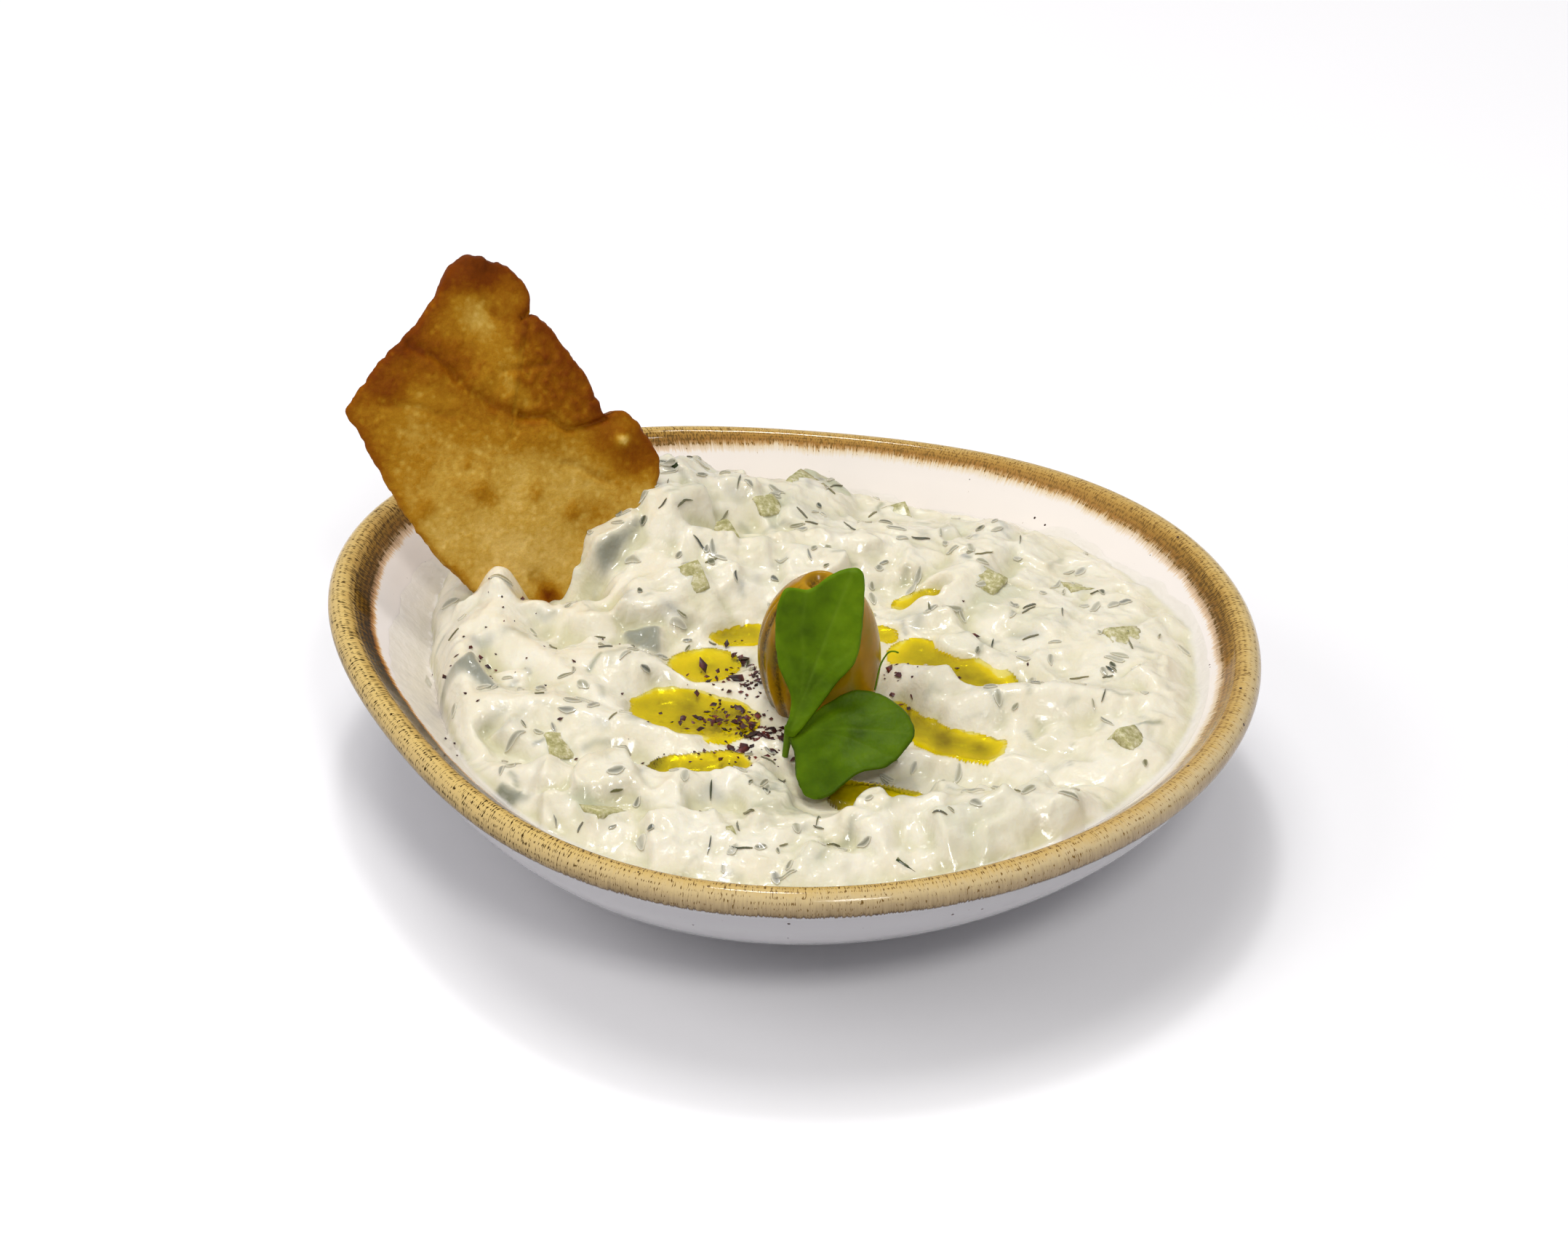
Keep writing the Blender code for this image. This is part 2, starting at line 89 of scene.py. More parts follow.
def smooth_line(points, step, closed=False):
    """Even points along a smooth curve through the given ones."""
    corners = np.array(points, float)
    if closed:
        padded = np.vstack([corners[-1:], corners, corners[:2]])
    else:
        ends = 2 * corners[0] - corners[1], 2 * corners[-1] - corners[-2]
        padded = np.vstack([ends[0], corners, ends[1]])
    t = np.linspace(0, 1, 24, endpoint=False)[:, None]
    curve = []
    for before, start, end, after in zip(padded, padded[1:], padded[2:], padded[3:]):
        curve.append(
            start + 0.5 * (end - before) * t
            + 0.5 * (2 * before - 5 * start + 4 * end - after) * t**2
            + 0.5 * (3 * start - before - 3 * end + after) * t**3
        )
    curve = np.vstack([*curve, padded[-2]])
    lengths = np.concatenate([[0], np.cumsum(np.linalg.norm(np.diff(curve, axis=0), axis=1))])
    count = max(2, round(lengths[-1] / step))
    wanted = np.linspace(0, lengths[-1], count + 1)[: -1 if closed else None]
    return np.stack([np.interp(wanted, lengths, axis) for axis in curve.T], axis=1)


def linear(hexadecimal):
    """An sRGB colour such as #c8a05a as linear red, green, blue and alpha."""
    parts = [int(hexadecimal[i : i + 2], 16) / 255 for i in (1, 3, 5)]
    return (*[((c + 0.055) / 1.055) ** 2.4 if c > 0.04045 else c / 12.92 for c in parts], 1.0)


def add_node(tree, kind, settings, inputs):
    """Adds a node, sets its properties, and sets or links its inputs by name or number."""
    node = tree.nodes.new(kind)
    for name, value in settings.items():
        if name == "ramp":
            ramp = node.color_ramp
            while len(ramp.elements) < len(value):
                ramp.elements.new(0.5)
            for element, (place, colour) in zip(ramp.elements, value):
                element.position = place
                element.color = linear(colour) if isinstance(colour, str) else (*[colour] * 3, 1)
        else:
            setattr(node, name, value)
    for name, value in inputs.items():
        if isinstance(value, bpy.types.NodeSocket):
            tree.links.new(value, node.inputs[name])
        elif isinstance(value, str):
            node.inputs[name].default_value = linear(value)
        else:
            node.inputs[name].default_value = value
    return node


def new_material(name):
    """An empty material, its node tree and its Principled shader, wired to the output."""
    material = bpy.data.materials.new(name)
    material.use_nodes = True
    tree = material.node_tree
    return material, tree, tree.nodes["Principled BSDF"]


def grid_faces(rows, columns, closed=False):
    """Quads over points stored row by row; closed joins each row's end to its start."""
    i = np.arange(rows - 1)[:, None] * columns
    j = np.arange(columns if closed else columns - 1)[None, :]
    k = (j + 1) % columns
    return np.stack([i + j, i + k, i + columns + k, i + columns + j], -1).reshape(-1, 4)


def new_piece(name, points, faces, material, replaces=(), attributes=None, fold=FOLD):
    """A smooth mesh from plan points in millimetres, riding on the part's one body."""
    mesh = bpy.data.meshes.new(name)
    metres = (np.asarray(points, float) + (*PLAN_CENTRE, 0)) * MM
    mesh.from_pydata(metres.tolist(), [], [list(face) for face in faces])
    for title, values in (attributes or {}).items():
        kind, key = ("FLOAT_VECTOR", "vector") if np.ndim(values) == 2 else ("FLOAT", "value")
        layer = mesh.attributes.new(title, kind, "POINT")
        layer.data.foreach_set(key, np.asarray(values, np.float32).ravel())
    shape = bmesh.new()
    shape.from_mesh(mesh)
    bmesh.ops.remove_doubles(shape, verts=shape.verts, dist=WELD * MM)
    bmesh.ops.recalc_face_normals(shape, faces=shape.faces)
    shape.to_mesh(mesh)
    shape.free()
    mesh.shade_smooth()
    mesh.set_sharp_from_angle(angle=fold)
    mesh.materials.append(material)
    piece = bpy.data.objects.new(name, mesh)
    bpy.context.scene.collection.objects.link(piece)
    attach(piece, "root")
    if replaces:
        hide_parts(*replaces)
    return piece


# The profile runs from the well up the inner wall, over the lip and down to the foot.
inner = smooth_line([(RIM_RADIUS - a, z) for a, z in INNER_WALL], 1.0)
arc = np.radians(np.linspace(*LIP_ARC, 26))
lip = np.stack([np.cos(arc), np.sin(arc)], 1) * LIP_RADIUS
lip += (RIM_RADIUS - LIP_RADIUS, BOWL_HEIGHT - LIP_RADIUS)
outer = smooth_line([(RIM_RADIUS - a, z) for a, z in OUTER_WALL], 1.2)
foot = np.array([(RIM_RADIUS - a, z) for a, z in FOOT_RING])
profile = np.vstack([inner[:-1], inner[-1:], lip, outer, foot])
profile = profile[np.r_[True, np.linalg.norm(np.diff(profile, axis=0), axis=1) > 0.01]]
around = np.linspace(0, 2 * np.pi, BOWL_SECTORS, endpoint=False)
swell = egg(around)
bowl_points = np.stack(
    [
        profile[:, :1] * swell * np.cos(around),
        profile[:, :1] * swell * np.sin(around),
        np.repeat(profile[:, 1:], BOWL_SECTORS, axis=1),
    ],
    axis=-1,
)
# Distance across the rim, measured along the profile from the lip's crest, inward positive.
crest = np.argmax(profile[:, 1])
lengths = np.concatenate([[0], np.cumsum(np.linalg.norm(np.diff(profile, axis=0), axis=1))])
across = lengths[crest] - lengths
# The run reached further down the wall in some directions: direction in degrees, spread, change.
RUN_SHORTER = ((82, 42, 1.9), (188, 45, -0.9))
# How burnt the glaze is round the rim: direction, spread, strength.
BURNT_SIDES = ((188, 42, 1.0), (232, 20, 0.5), (275, 34, 0.3), (8, 22, 0.5), (122, 16, 0.7))
shorter = np.where(across[:, None] > 0, plus_slumps(0, RUN_SHORTER, around)[None, :], 0)
run_place = np.stack(
    [
        np.broadcast_to(RIM_RADIUS * np.cos(around), bowl_points.shape[:2]),
        np.broadcast_to(RIM_RADIUS * np.sin(around), bowl_points.shape[:2]),
        across[:, None] + shorter * np.clip(across[:, None] / 2.5, 0, 1),
    ],
    axis=-1,
)
burnt = np.broadcast_to(np.minimum(plus_slumps(0, BURNT_SIDES, around), 1), bowl_points.shape[:2])

# Stoneware glaze, fired: glassy and smooth, milk white with a pink cast, iron specks in it.
glaze, t, shader = new_material("speckled_reactive_glaze")
place = add_node(t, "ShaderNodeAttribute", {"attribute_name": "run_place"}, {}).outputs["Vector"]
burn = add_node(t, "ShaderNodeAttribute", {"attribute_name": "burnt"}, {}).outputs["Fac"]
height = add_node(t, "ShaderNodeSeparateXYZ", {}, {0: place}).outputs[2]
# Every limit of a colour wanders and frays into fine threads that follow the fall of the glaze.
threads = add_node(t, "ShaderNodeMapping", {}, {"Vector": place, "Scale": (2.8, 2.8, 0.3)})
thread = add_node(
    t, "ShaderNodeTexNoise", {}, {"Vector": threads.outputs[0], "Scale": 1.0, "Detail": 2.0}
).outputs["Fac"]
wander = add_node(
    t, "ShaderNodeTexNoise", {}, {"Vector": place, "Scale": 0.11, "Detail": 3.0}
).outputs["Fac"]
fray = add_node(t, "ShaderNodeMath", {"operation": "MULTIPLY_ADD"}, {0: thread, 1: 2.6, 2: -2.3})
drift = add_node(
    t, "ShaderNodeMath", {"operation": "MULTIPLY_ADD"}, {0: wander, 1: 2.0, 2: fray.outputs[0]}
)
level = add_node(t, "ShaderNodeMath", {}, {0: height, 1: drift.outputs[0]}).outputs[0]
# Colours from 10 mm down outside the crest, at 0, to 14 mm down the inner wall, at 1.
ramp_at = add_node(t, "ShaderNodeMapRange", {}, {0: level, 1: -10.0, 2: 14.0}).outputs[0]
# Below 0.145, on the outer wall and foot, both ramps end in a grey that is painted shade: the same white
# glaze as inside, darkened because the outer wall faces down.
calm = add_node(
    t,
    "ShaderNodeValToRGB",
    {
        "ramp": (
            # The pale stop at 0.33, on the outer lip, is a painted highlight.
            (0.145, "#b2b0b3"), (0.17, "#4f3717"), (0.20, "#8a7657"), (0.26, "#a89475"),
            (0.33, "#c4b088"), (0.42, "#bb9b5a"), (0.50, "#b08a46"), (0.57, "#a87e3c"),
            (0.61, "#a07238"), (0.64, "#c4a06c"), (0.67, "#dfceb2"), (0.72, "#e6ded7"),
        )
    },
    {"Fac": ramp_at},
).outputs["Color"]
# This ramp also ends in the painted-shade grey of the outer wall below 0.145.
hot = add_node(
    t,
    "ShaderNodeValToRGB",
    {
        "ramp": (
            (0.145, "#b2b0b3"), (0.17, "#4c3514"), (0.20, "#8a7652"), (0.28, "#bfa570"),
            (0.40, "#ccaf6c"), (0.48, "#b08d4a"), (0.53, "#73520f"), (0.60, "#5a3a08"),
            (0.645, "#4c2c04"), (0.660, "#743f06"), (0.682, "#aa6c1c"), (0.70, "#cfa468"),
            (0.717, "#e4ddda"),
        )
    },
    {"Fac": ramp_at},
).outputs["Color"]
band = add_node(
    t, "ShaderNodeMix", {"data_type": "RGBA"}, {"Factor": burn, 6: calm, 7: hot}
).outputs[2]
# Dashes where the glaze curdled, 1 mm long and 0.2 mm wide, in rows that go round the rim.
dash_place = add_node(t, "ShaderNodeMapping", {}, {"Vector": place, "Scale": (4.2, 4.2, 0.85)})
grains = add_node(
    t, "ShaderNodeTexNoise", {}, {"Vector": dash_place.outputs[0], "Scale": 1.0, "Detail": 2.0}
).outputs["Fac"]
row = add_node(
    t, "ShaderNodeMath", {"operation": "SINE"},
    {0: add_node(
        t, "ShaderNodeMath", {"operation": "MULTIPLY_ADD"}, {0: height, 1: 6.0, 2: wander}
    ).outputs[0]},
).outputs[0]
in_rows = add_node(
    t, "ShaderNodeMath", {"operation": "MULTIPLY_ADD"}, {0: row, 1: 0.05, 2: grains}
).outputs[0]
sparse = add_node(
    t, "ShaderNodeValToRGB",
    {
        "ramp": (
            (0.16, 0.78), (0.20, 0.66), (0.36, 0.64), (0.44, 0.56), (0.57, 0.53), (0.62, 0.54),
            (0.68, 0.70), (0.72, 0.80),
        )
    },
    {"Fac": ramp_at},
).outputs["Color"]
dense = add_node(
    t, "ShaderNodeValToRGB",
    {
        "ramp": (
            (0.16, 0.78), (0.20, 0.60), (0.34, 0.58), (0.46, 0.55), (0.51, 0.47), (0.62, 0.42),
            (0.648, 0.38), (0.66, 0.64), (0.72, 0.80),
        )
    },
    {"Fac": ramp_at},
).outputs["Color"]
limit = add_node(
    t, "ShaderNodeMix", {"data_type": "RGBA"}, {"Factor": burn, 6: sparse, 7: dense}
).outputs[2]
over = add_node(t, "ShaderNodeMath", {"operation": "SUBTRACT"}, {0: in_rows, 1: limit}).outputs[0]
dash = add_node(
    t, "ShaderNodeMapRange", {"interpolation_type": "SMOOTHSTEP"}, {0: over, 1: -0.02, 2: 0.05}
).outputs[0]
ink = add_node(
    t, "ShaderNodeMix", {"data_type": "RGBA"}, {"Factor": burn, 6: "#7c5c2a", 7: "#211609"}
).outputs[2]
dashed = add_node(
    t, "ShaderNodeMix", {"data_type": "RGBA"}, {"Factor": dash, 6: band, 7: ink}
).outputs[2]
# Iron specks, 0.15 to 0.6 mm across, about one to 12 square millimetres of glaze.
specks = add_node(
    t, "ShaderNodeTexVoronoi", {}, {"Vector": place, "Scale": 0.34, "Randomness": 1.0}
)
pick = add_node(t, "ShaderNodeSeparateColor", {}, {0: specks.outputs["Color"]}).outputs[0]
chance = add_node(t, "ShaderNodeMapRange", {}, {0: pick, 1: 0.35, 2: 1.0, 3: 0.0, 4: 1.0})
rare = add_node(
    t, "ShaderNodeMath", {"operation": "POWER"}, {0: chance.outputs[0], 1: 1.7}
).outputs[0]
size = add_node(t, "ShaderNodeMath", {"operation": "MULTIPLY"}, {0: rare, 1: 0.14}).outputs[0]
speck = add_node(
    t, "ShaderNodeMath", {"operation": "LESS_THAN"}, {0: specks.outputs["Distance"], 1: size}
).outputs[0]
specked = add_node(
    t, "ShaderNodeMix", {"data_type": "RGBA"}, {"Factor": speck, 6: dashed, 7: "#3b2620"}
).outputs[2]
ripple = add_node(t, "ShaderNodeTexNoise", {}, {"Vector": place, "Scale": 0.16, "Detail": 1.0})
bump = add_node(
    t, "ShaderNodeBump", {}, {"Strength": 0.25, "Distance": 0.0004, "Height": ripple.outputs["Fac"]}
)
t.links.new(specked, shader.inputs["Base Color"])
t.links.new(bump.outputs[0], shader.inputs["Normal"])
shader.inputs["Roughness"].default_value = 0.09
shader.inputs["IOR"].default_value = 1.5
# Where the glaze burnt it is dull.
dull = add_node(t, "ShaderNodeMapRange", {}, {0: burn, 1: 0.0, 2: 0.9, 3: 0.3, 4: 0.02})
t.links.new(dull.outputs[0], shader.inputs["Specular IOR Level"])

new_piece(
    "glazed_bowl",
    bowl_points.reshape(-1, 3),
    grid_faces(len(profile), BOWL_SECTORS, closed=True),
    glaze,
    ("bowl",),
    {"run_place": run_place.reshape(-1, 3), "burnt": burnt.ravel()},
)


# ---------------------------------------------------------------------------------------
# Dip. Strained yoghurt stirred with diced cucumber and chopped dill, spooned into the bowl and
# swirled with the back of the spoon. The dice stand under the cream as corners and flats, and
# whey and oil make it glossy.

EDGE_INSET = 10.5
EDGE_SLUMPS = ((172, 34, 9.0), (112, 26, 6.5), (60, 22, 4.5), (28, 14, 2.0))
EDGE_ROLL = 5.5
SMEAR_WIDTH = 1.6
SMEAR_SLUMP = (182, 30, 7.0)
SMEAR_THICKNESS = 0.12
BED_LEVEL = 31.9
OIL_LEVEL = 32.0
BLEND = 0.5
DIP_CELLS = 290
# Ridges left by the spoon: width and steepness of the flank, then crest points (x, y, height).
RIDGES = {
    "lobe before the chip": (3.0, 2.6, ((-56.6, 20, 41), (-56.4, 15, 40.6))),
    "foot of the lobe": (3.5, 1.2, ((-56.5, 14, 38.6), (-56, 4, 37))),
    "outer left ridge": (4.0, 1.0, ((-56, 10, 38), (-62, 4, 36), (-64, -8, 36), (-60, -24, 34.5))),
    "inner left ridge": (3.0, 1.0, ((-56, 5, 37), (-46, -6, 36.5), (-35, -18, 35.5), (-30, -22, 34))),
    "ridge below the chip": (3.0, 1.1, ((-50, 14, 36), (-43, 11, 35), (-36, 8, 36))),
    "left heap": (5.0, 0.9, ((-39, -5, 37), (-32, -7, 38), (-24, -9, 35.5))),
    "spoon stroke left": (3.5, 0.9, ((-56, -20, 36), (-44, -21, 36.5), (-33, -26, 35.5), (-20, -28, 34.5))),
    "front left crest": (4.0, 0.9, ((-53, -41, 34), (-40, -46, 36.5), (-20, -48, 37.5), (-9, -43, 37))),
    "front slope left": (9.0, 0.6, ((-48, -50, 33), (-25, -60, 34), (-5, -62, 34.5))),
    "front right crest": (4.0, 0.9, ((7, -59, 35.8), (14, -58, 37), (30, -58, 37.5), (50, -56, 38))),
    "front slope right": (9.0, 0.6, ((-3, -66, 34), (20, -68, 33.5), (44, -62, 34.5))),
    "lip of the oil pool": (2.0, 0.8, ((21, -36, 33.8), (30, -38, 33.4), (42, -38, 33.8))),
    "swirl ridge": (3.0, 1.1, ((28, -22, 35), (36, -20, 37.5), (50, -19, 38), (68, -19, 35.5))),
    "mound by the olive": (3.5, 1.0, ((18, -8, 35), (25, -13, 37.5), (34, -16, 36))),
    "right shelf": (12.0, 0.4, ((50, 12, 33.6), (64, 0, 33.8), (64, -34, 34.5))),
    "upper right ridge": (3.5, 0.9, ((27, 17, 35.5), (36, 30, 37), (42, 44, 36))),
    "back heap": (8.0, 1.0, ((-29, 39, 46), (-24, 46, 46), (-12, 50, 43), (2, 54, 39))),
    "back heap against the chip": (4.5, 1.5, ((-25, 38, 47), (-25, 31, 45.5), (-25, 25, 41))),
    "tongue between the pools": (1.6, 0.8, ((-27, -9.5, 33.6), (-19, -10.6, 33.2), (-10, -13, 34))),
    "back heap foot": (9.0, 0.7, ((-24, 22, 40), (-16, 26, 40), (4, 36, 38.5), (24, 40, 36))),
    "olive seat": (10.0, 0.6, ((0, -12, 35.2), (6, -21, 34.6))),
}
# Hollows: half width at LEVEL, LEVEL, depth below it, and the path of the deepest line (x, y).
HOLLOWS = {
    "left pool": (6.0, OIL_LEVEL, 1.3, ((-23.6, -18.2), (-18, -20.4), (-13.6, -22))),
    "upper left pool": (4.2, OIL_LEVEL, 0.9, ((-17.6, -3.4), (-15.2, -2.8))),
    "back pool": (2.8, OIL_LEVEL, 1.2, ((-12, 8.4), (-7.5, 8.2))),
    "front left pool": (3.9, OIL_LEVEL, 1.2, ((-21, -39.6), (-16.5, -39.2), (-12, -38.2))),
    "front pool": (2.8, OIL_LEVEL, 1.0, ((11, -46.6), (15, -47.6), (21, -49.6))),
    "right pool": (3.3, OIL_LEVEL, 1.5, ((20, -20.5), (24.5, -24.8), (29.5, -30.3), (35.5, -32.6))),
    "drop by the right pool": (1.3, OIL_LEVEL, 0.5, ((40.3, -31.2), (40.9, -31.6))),
    "upper right pool": (4.3, OIL_LEVEL, 1.3, ((24.5, 0.4), (29, -2), (33.4, -6.5), (37.3, -9.2))),
    "film behind the olive": (2.0, OIL_LEVEL, 0.5, ((16.5, 8.5), (18.2, 8.0))),
    "thin right pool": (1.9, OIL_LEVEL, 0.7, ((22.6, 19), (28, 22.6))),
    "left groove": (4.0, 31.6, 1.5, ((-57, -30), (-44, -35), (-28, -37))),
    "front hollow": (5.0, 31.2, 1.5, ((23, -41), (32, -42.8), (41, -43.4))),
    "notch at the chip": (3.4, 31.5, 1.5, ((-47, 22), (-43, 20), (-40, 20))),
    "under the leaf": (5.5, 31.5, 1.2, ((6, -49.5), (3, -40), (16, -38))),
}
HOLLOW_POWER = 3
SPOON_SMOOTHED = (
    "spoon stroke left", "swirl ridge", "lip of the oil pool", "inner left ridge", "left heap",
    "tongue between the pools",
)


def nearest_on_path(x, y, path):
    """Distance from each plan point to a polyline, and the height or zero read off it there."""
    nearest = np.full(np.shape(x), np.inf)
    read = np.zeros(np.shape(x))
    for start, end in zip(path, path[1:]):
        run = (end[0] - start[0], end[1] - start[1])
        along = (x - start[0]) * run[0] + (y - start[1]) * run[1]
        along = np.clip(along / (run[0] ** 2 + run[1] ** 2), 0, 1)
        distance = np.hypot(x - start[0] - along * run[0], y - start[1] - along * run[1])
        closer = distance < nearest
        nearest = np.where(closer, distance, nearest)
        if len(start) == 3:
            read = np.where(closer, start[2] + along * (end[2] - start[2]), read)
    return nearest, read


def raise_to(height, form, blend=BLEND):
    """Smooth maximum of two heights."""
    return blend * np.logaddexp(height / blend, form / blend)


def lower_to(height, form, blend=BLEND):
    """Smooth minimum of two heights."""
    return -blend * np.logaddexp(-height / blend, -form / blend)


def field(x, y, z, size, seed, octaves=1):
    """Smooth noise of about -1 to 1 at each point, with features of this size."""
    spots = np.stack(np.broadcast_arrays(x, y, z), -1).reshape(-1, 3) / size + seed * 17.3
    if octaves == 1:
        found = [noise.noise(Vector(spot)) for spot in spots.tolist()]
    else:
        found = [noise.fractal(Vector(spot), 1.0, 2.0, octaves) for spot in spots.tolist()]
    return np.array(found).reshape(np.shape(x))


# A square grid is spread over the egg, so that its cells stay even out to the edge.
steps = np.linspace(-1, 1, DIP_CELLS + 1)
a, b = np.meshgrid(steps, steps, indexing="ij")
wide = np.abs(a) > np.abs(b)
radius = np.where(wide, a, b)
with np.errstate(divide="ignore", invalid="ignore"):
    angle = np.where(wide, math.pi / 4 * b / a, math.pi / 2 - math.pi / 4 * a / b)
angle = np.nan_to_num(angle) + np.where(radius < 0, math.pi, 0)
radius = np.abs(radius)


ragged = 0.9 * field(30 * np.cos(angle), 30 * np.sin(angle), 0, 5.0, 3, 3)
edge = plus_slumps(EDGE_INSET, EDGE_SLUMPS, angle) + ragged
streaky = 0.8 * field(30 * np.cos(angle), 30 * np.sin(angle), 0, 2.5, 4, 3)
smear_width = plus_slumps(SMEAR_WIDTH, (SMEAR_SLUMP,), angle) + streaky
smear_width = np.minimum(np.maximum(smear_width, 0.6), edge - 9.4)
smear_width = np.maximum(smear_width, 0.2)
reach = (RIM_RADIUS - edge + smear_width) * egg(angle) * radius
x, y = reach * np.cos(angle), reach * np.sin(angle)

height = np.full(x.shape, BED_LEVEL)
smooth_way = np.zeros(x.shape)
for title, (width, steepness, path) in RIDGES.items():
    distance, crest_height = nearest_on_path(x, y, path)
    flank = crest_height - steepness * (np.sqrt(width**2 + distance**2) - width)
    height = raise_to(height, flank)
    if title in SPOON_SMOOTHED:
        smooth_way = np.maximum(smooth_way, np.exp(-((distance / 5) ** 2)))
pool = np.zeros(x.shape)
beside_hollow = np.full(x.shape, np.inf)
sway_x, sway_y = 1.7 * field(x, y, 0, 5.0, 21, 2), 1.7 * field(x, y, 0, 5.0, 22, 2)
for half_width, floor_level, depth, path in HOLLOWS.values():
    distance, _ = nearest_on_path(x + sway_x, y + sway_y, path)
    floor = floor_level + depth * ((distance / half_width) ** HOLLOW_POWER - 1)
    height = lower_to(height, floor)
    beside_hollow = np.minimum(beside_hollow, distance - half_width)
    smooth_way = np.maximum(smooth_way, np.exp(-((distance / (half_width + 1.5)) ** 4)))
    if floor_level == OIL_LEVEL:
        pool = np.maximum(pool, np.exp(-((distance / (half_width + 1.6)) ** 6)))

# Softer heaves lie everywhere, less where the spoon smoothed the cream.
rough = 1 - 0.6 * smooth_way
height += rough * 0.6 * field(x, y, 0, 6.5, 1, 2) - 0.2

# Dice of cucumber: place, how far the top stands over the cream, size, turn and tilts in
# degrees, and what shows: how bare it is, and whether a side has its dark skin.
NAMED_DICE = (
    (-60, -9, 1.6, 6.5, 30, 22, -14, 0.0, 1), (-23, -62, 1.9, 8.0, 12, 18, 8, 0.0, 0),
    (-34, -56, 1.6, 7.0, 40, -12, 20, 0.3, 0), (-13, -64, 0.7, 7.0, 20, 24, -6, 0.9, 0),
    (-8, -50, 1.8, 6.0, 55, 10, 12, 0.0, 0), (-4, -59, 1.2, 6.0, 15, -14, 18, 0.0, 0),
    (28, -62, 2.2, 8.0, 25, 20, 12, 0.0, 0), (38, -57, 1.7, 5.5, 48, 28, -16, 0.0, 0),
    (35, -66, 1.4, 5.0, 10, 12, 20, 0.0, 0), (50, -58, 1.3, 4.5, 33, 16, -22, 0.0, 0),
    (20, -69, 0.6, 6.0, 70, 30, 10, 0.8, 1), (62, -33, 1.8, 7.0, 38, 26, 18, 0.4, 0),
    (38, 25, 0.9, 7.0, 60, 12, -10, 0.9, 0), (57, 26, 0.8, 6.5, 22, -16, 14, 0.9, 0),
    (46, 38, 1.5, 6.0, 50, 20, 8, 0.0, 0), (-14, 36, 1.3, 9.0, 35, 30, -12, 0.9, 0),
    (-22, 48, 3.0, 8.0, 47, 34, 30, 0.0, 2), (2, 42, 1.2, 7.5, 75, 24, 6, 0.3, 1),
    (-20, 19, 1.9, 8.5, 28, 34, -22, 0.9, 0), (-20, 30, 1.6, 7.0, 8, 30, 14, 0.2, 0),
    (22, 55, 0.9, 7.0, 18, 20, -12, 0.9, 0), (2, 57, 0.9, 8.0, 62, 22, 10, 0.9, 0),
    (67, -10, 1.7, 6.5, 44, 18, 16, 0.2, 0), (-60, -27, 1.4, 6.0, 26, 14, -20, 0.0, 0),
    (-51, -27, 1.2, 6.0, 58, 20, 8, 0.2, 0), (-43, -30, 1.2, 6.5, 14, 26, 16, 0.8, 0),
    (15, -64, 1.8, 6.5, 36, 22, 12, 0.0, 0), (5, -69, 1.0, 6.0, 66, 16, -14, 0.0, 0),
    (-42, -54, 1.7, 6.5, 5, 20, 14, 0.0, 0), (-52, -48, 1.4, 6.0, 52, 14, -18, 0.0, 1),
    (64, 4, 0.9, 7.0, 20, 12, 8, 0.6, 0), (73, 12, 1.0, 5.5, 42, 20, -10, 0.0, 0),
    (-5, 45, 1.9, 7.0, 30, 26, 12, 0.2, 0), (30, 12, 1.3, 6.0, 15, 24, -14, 0.0, 0),
)
# Loose ones: how many, how far apart, smallest and largest, and the middle and size of their patch.
LOOSE_DICE = ((78, 7.4, 3.4, 6.8, (0, 0), 200), (24, 4.6, 2.6, 4.2, (26, -60), 24))
CLEAR_OF_POOLS = 4.0
COAT = 0.85
CORNER_BLEND = 0.95
SOFTENING_PASSES = 4


def turn_matrix(yaw, tip, roll):
    """A turn about Z after two tilts, in degrees."""
    yaw, tip, roll = np.radians((yaw, tip, roll))
    about_z = np.array([[np.cos(yaw), -np.sin(yaw), 0], [np.sin(yaw), np.cos(yaw), 0], [0, 0, 1]])
    about_x = np.array([[1, 0, 0], [0, np.cos(tip), -np.sin(tip)], [0, np.sin(tip), np.cos(tip)]])
    about_y = np.array([[np.cos(roll), 0, np.sin(roll)], [0, 1, 0], [-np.sin(roll), 0, np.cos(roll)]])
    return about_z @ about_x @ about_y


def softened(surface, passes):
    """The surface with each point moved towards the mean of its neighbours."""
    surface = surface.copy()
    for _ in range(passes):
        middle = surface[1:-1, 1:-1]
        beside = surface[:-2, 1:-1] + surface[2:, 1:-1] + surface[1:-1, :-2] + surface[1:-1, 2:]
        surface[1:-1, 1:-1] = 0.5 * middle + 0.125 * beside
    return surface


draw = np.random.default_rng(11)
dice = [list(die) for die in NAMED_DICE]
for how_many, apart, smallest, largest, middle, patch_size in LOOSE_DICE:
    wanted, tries = len(dice) + how_many, 0
    while len(dice) < wanted and tries < 9000:
        tries += 1
        spin, far = draw.uniform(0, 2 * math.pi), math.sqrt(draw.uniform(0, 1))
        spread_out = (RIM_RADIUS - EDGE_INSET - 6) * float(egg(spin)) * far
        die_x, die_y = spread_out * math.cos(spin), spread_out * math.sin(spin)
        if math.hypot(die_x - middle[0], die_y - middle[1]) > patch_size:
            continue
        if min(math.hypot(die_x - die[0], die_y - die[1]) for die in dice) < apart:
            continue
        near = np.argmin((x - die_x) ** 2 + (y - die_y) ** 2)
        if smooth_way.flat[near] > 0.35 or math.hypot(die_x - 5, die_y + 17) < 19:
            continue
        if beside_hollow.flat[near] < CLEAR_OF_POOLS:
            continue
        if math.hypot(die_x - 6, die_y + 52) < 8:
            continue
        if die_x > 40 and abs(die_y + 2) < 16 and draw.random() < 0.6:
            continue
        over = draw.uniform(-0.5, 1.2) * (1.25 if die_y > 18 else 1)
        dice.append([
            die_x, die_y, over, draw.uniform(smallest, largest), draw.uniform(0, 90),
            draw.normal(0, 20), draw.normal(0, 20), 0.0, draw.random() < 0.05,
        ])

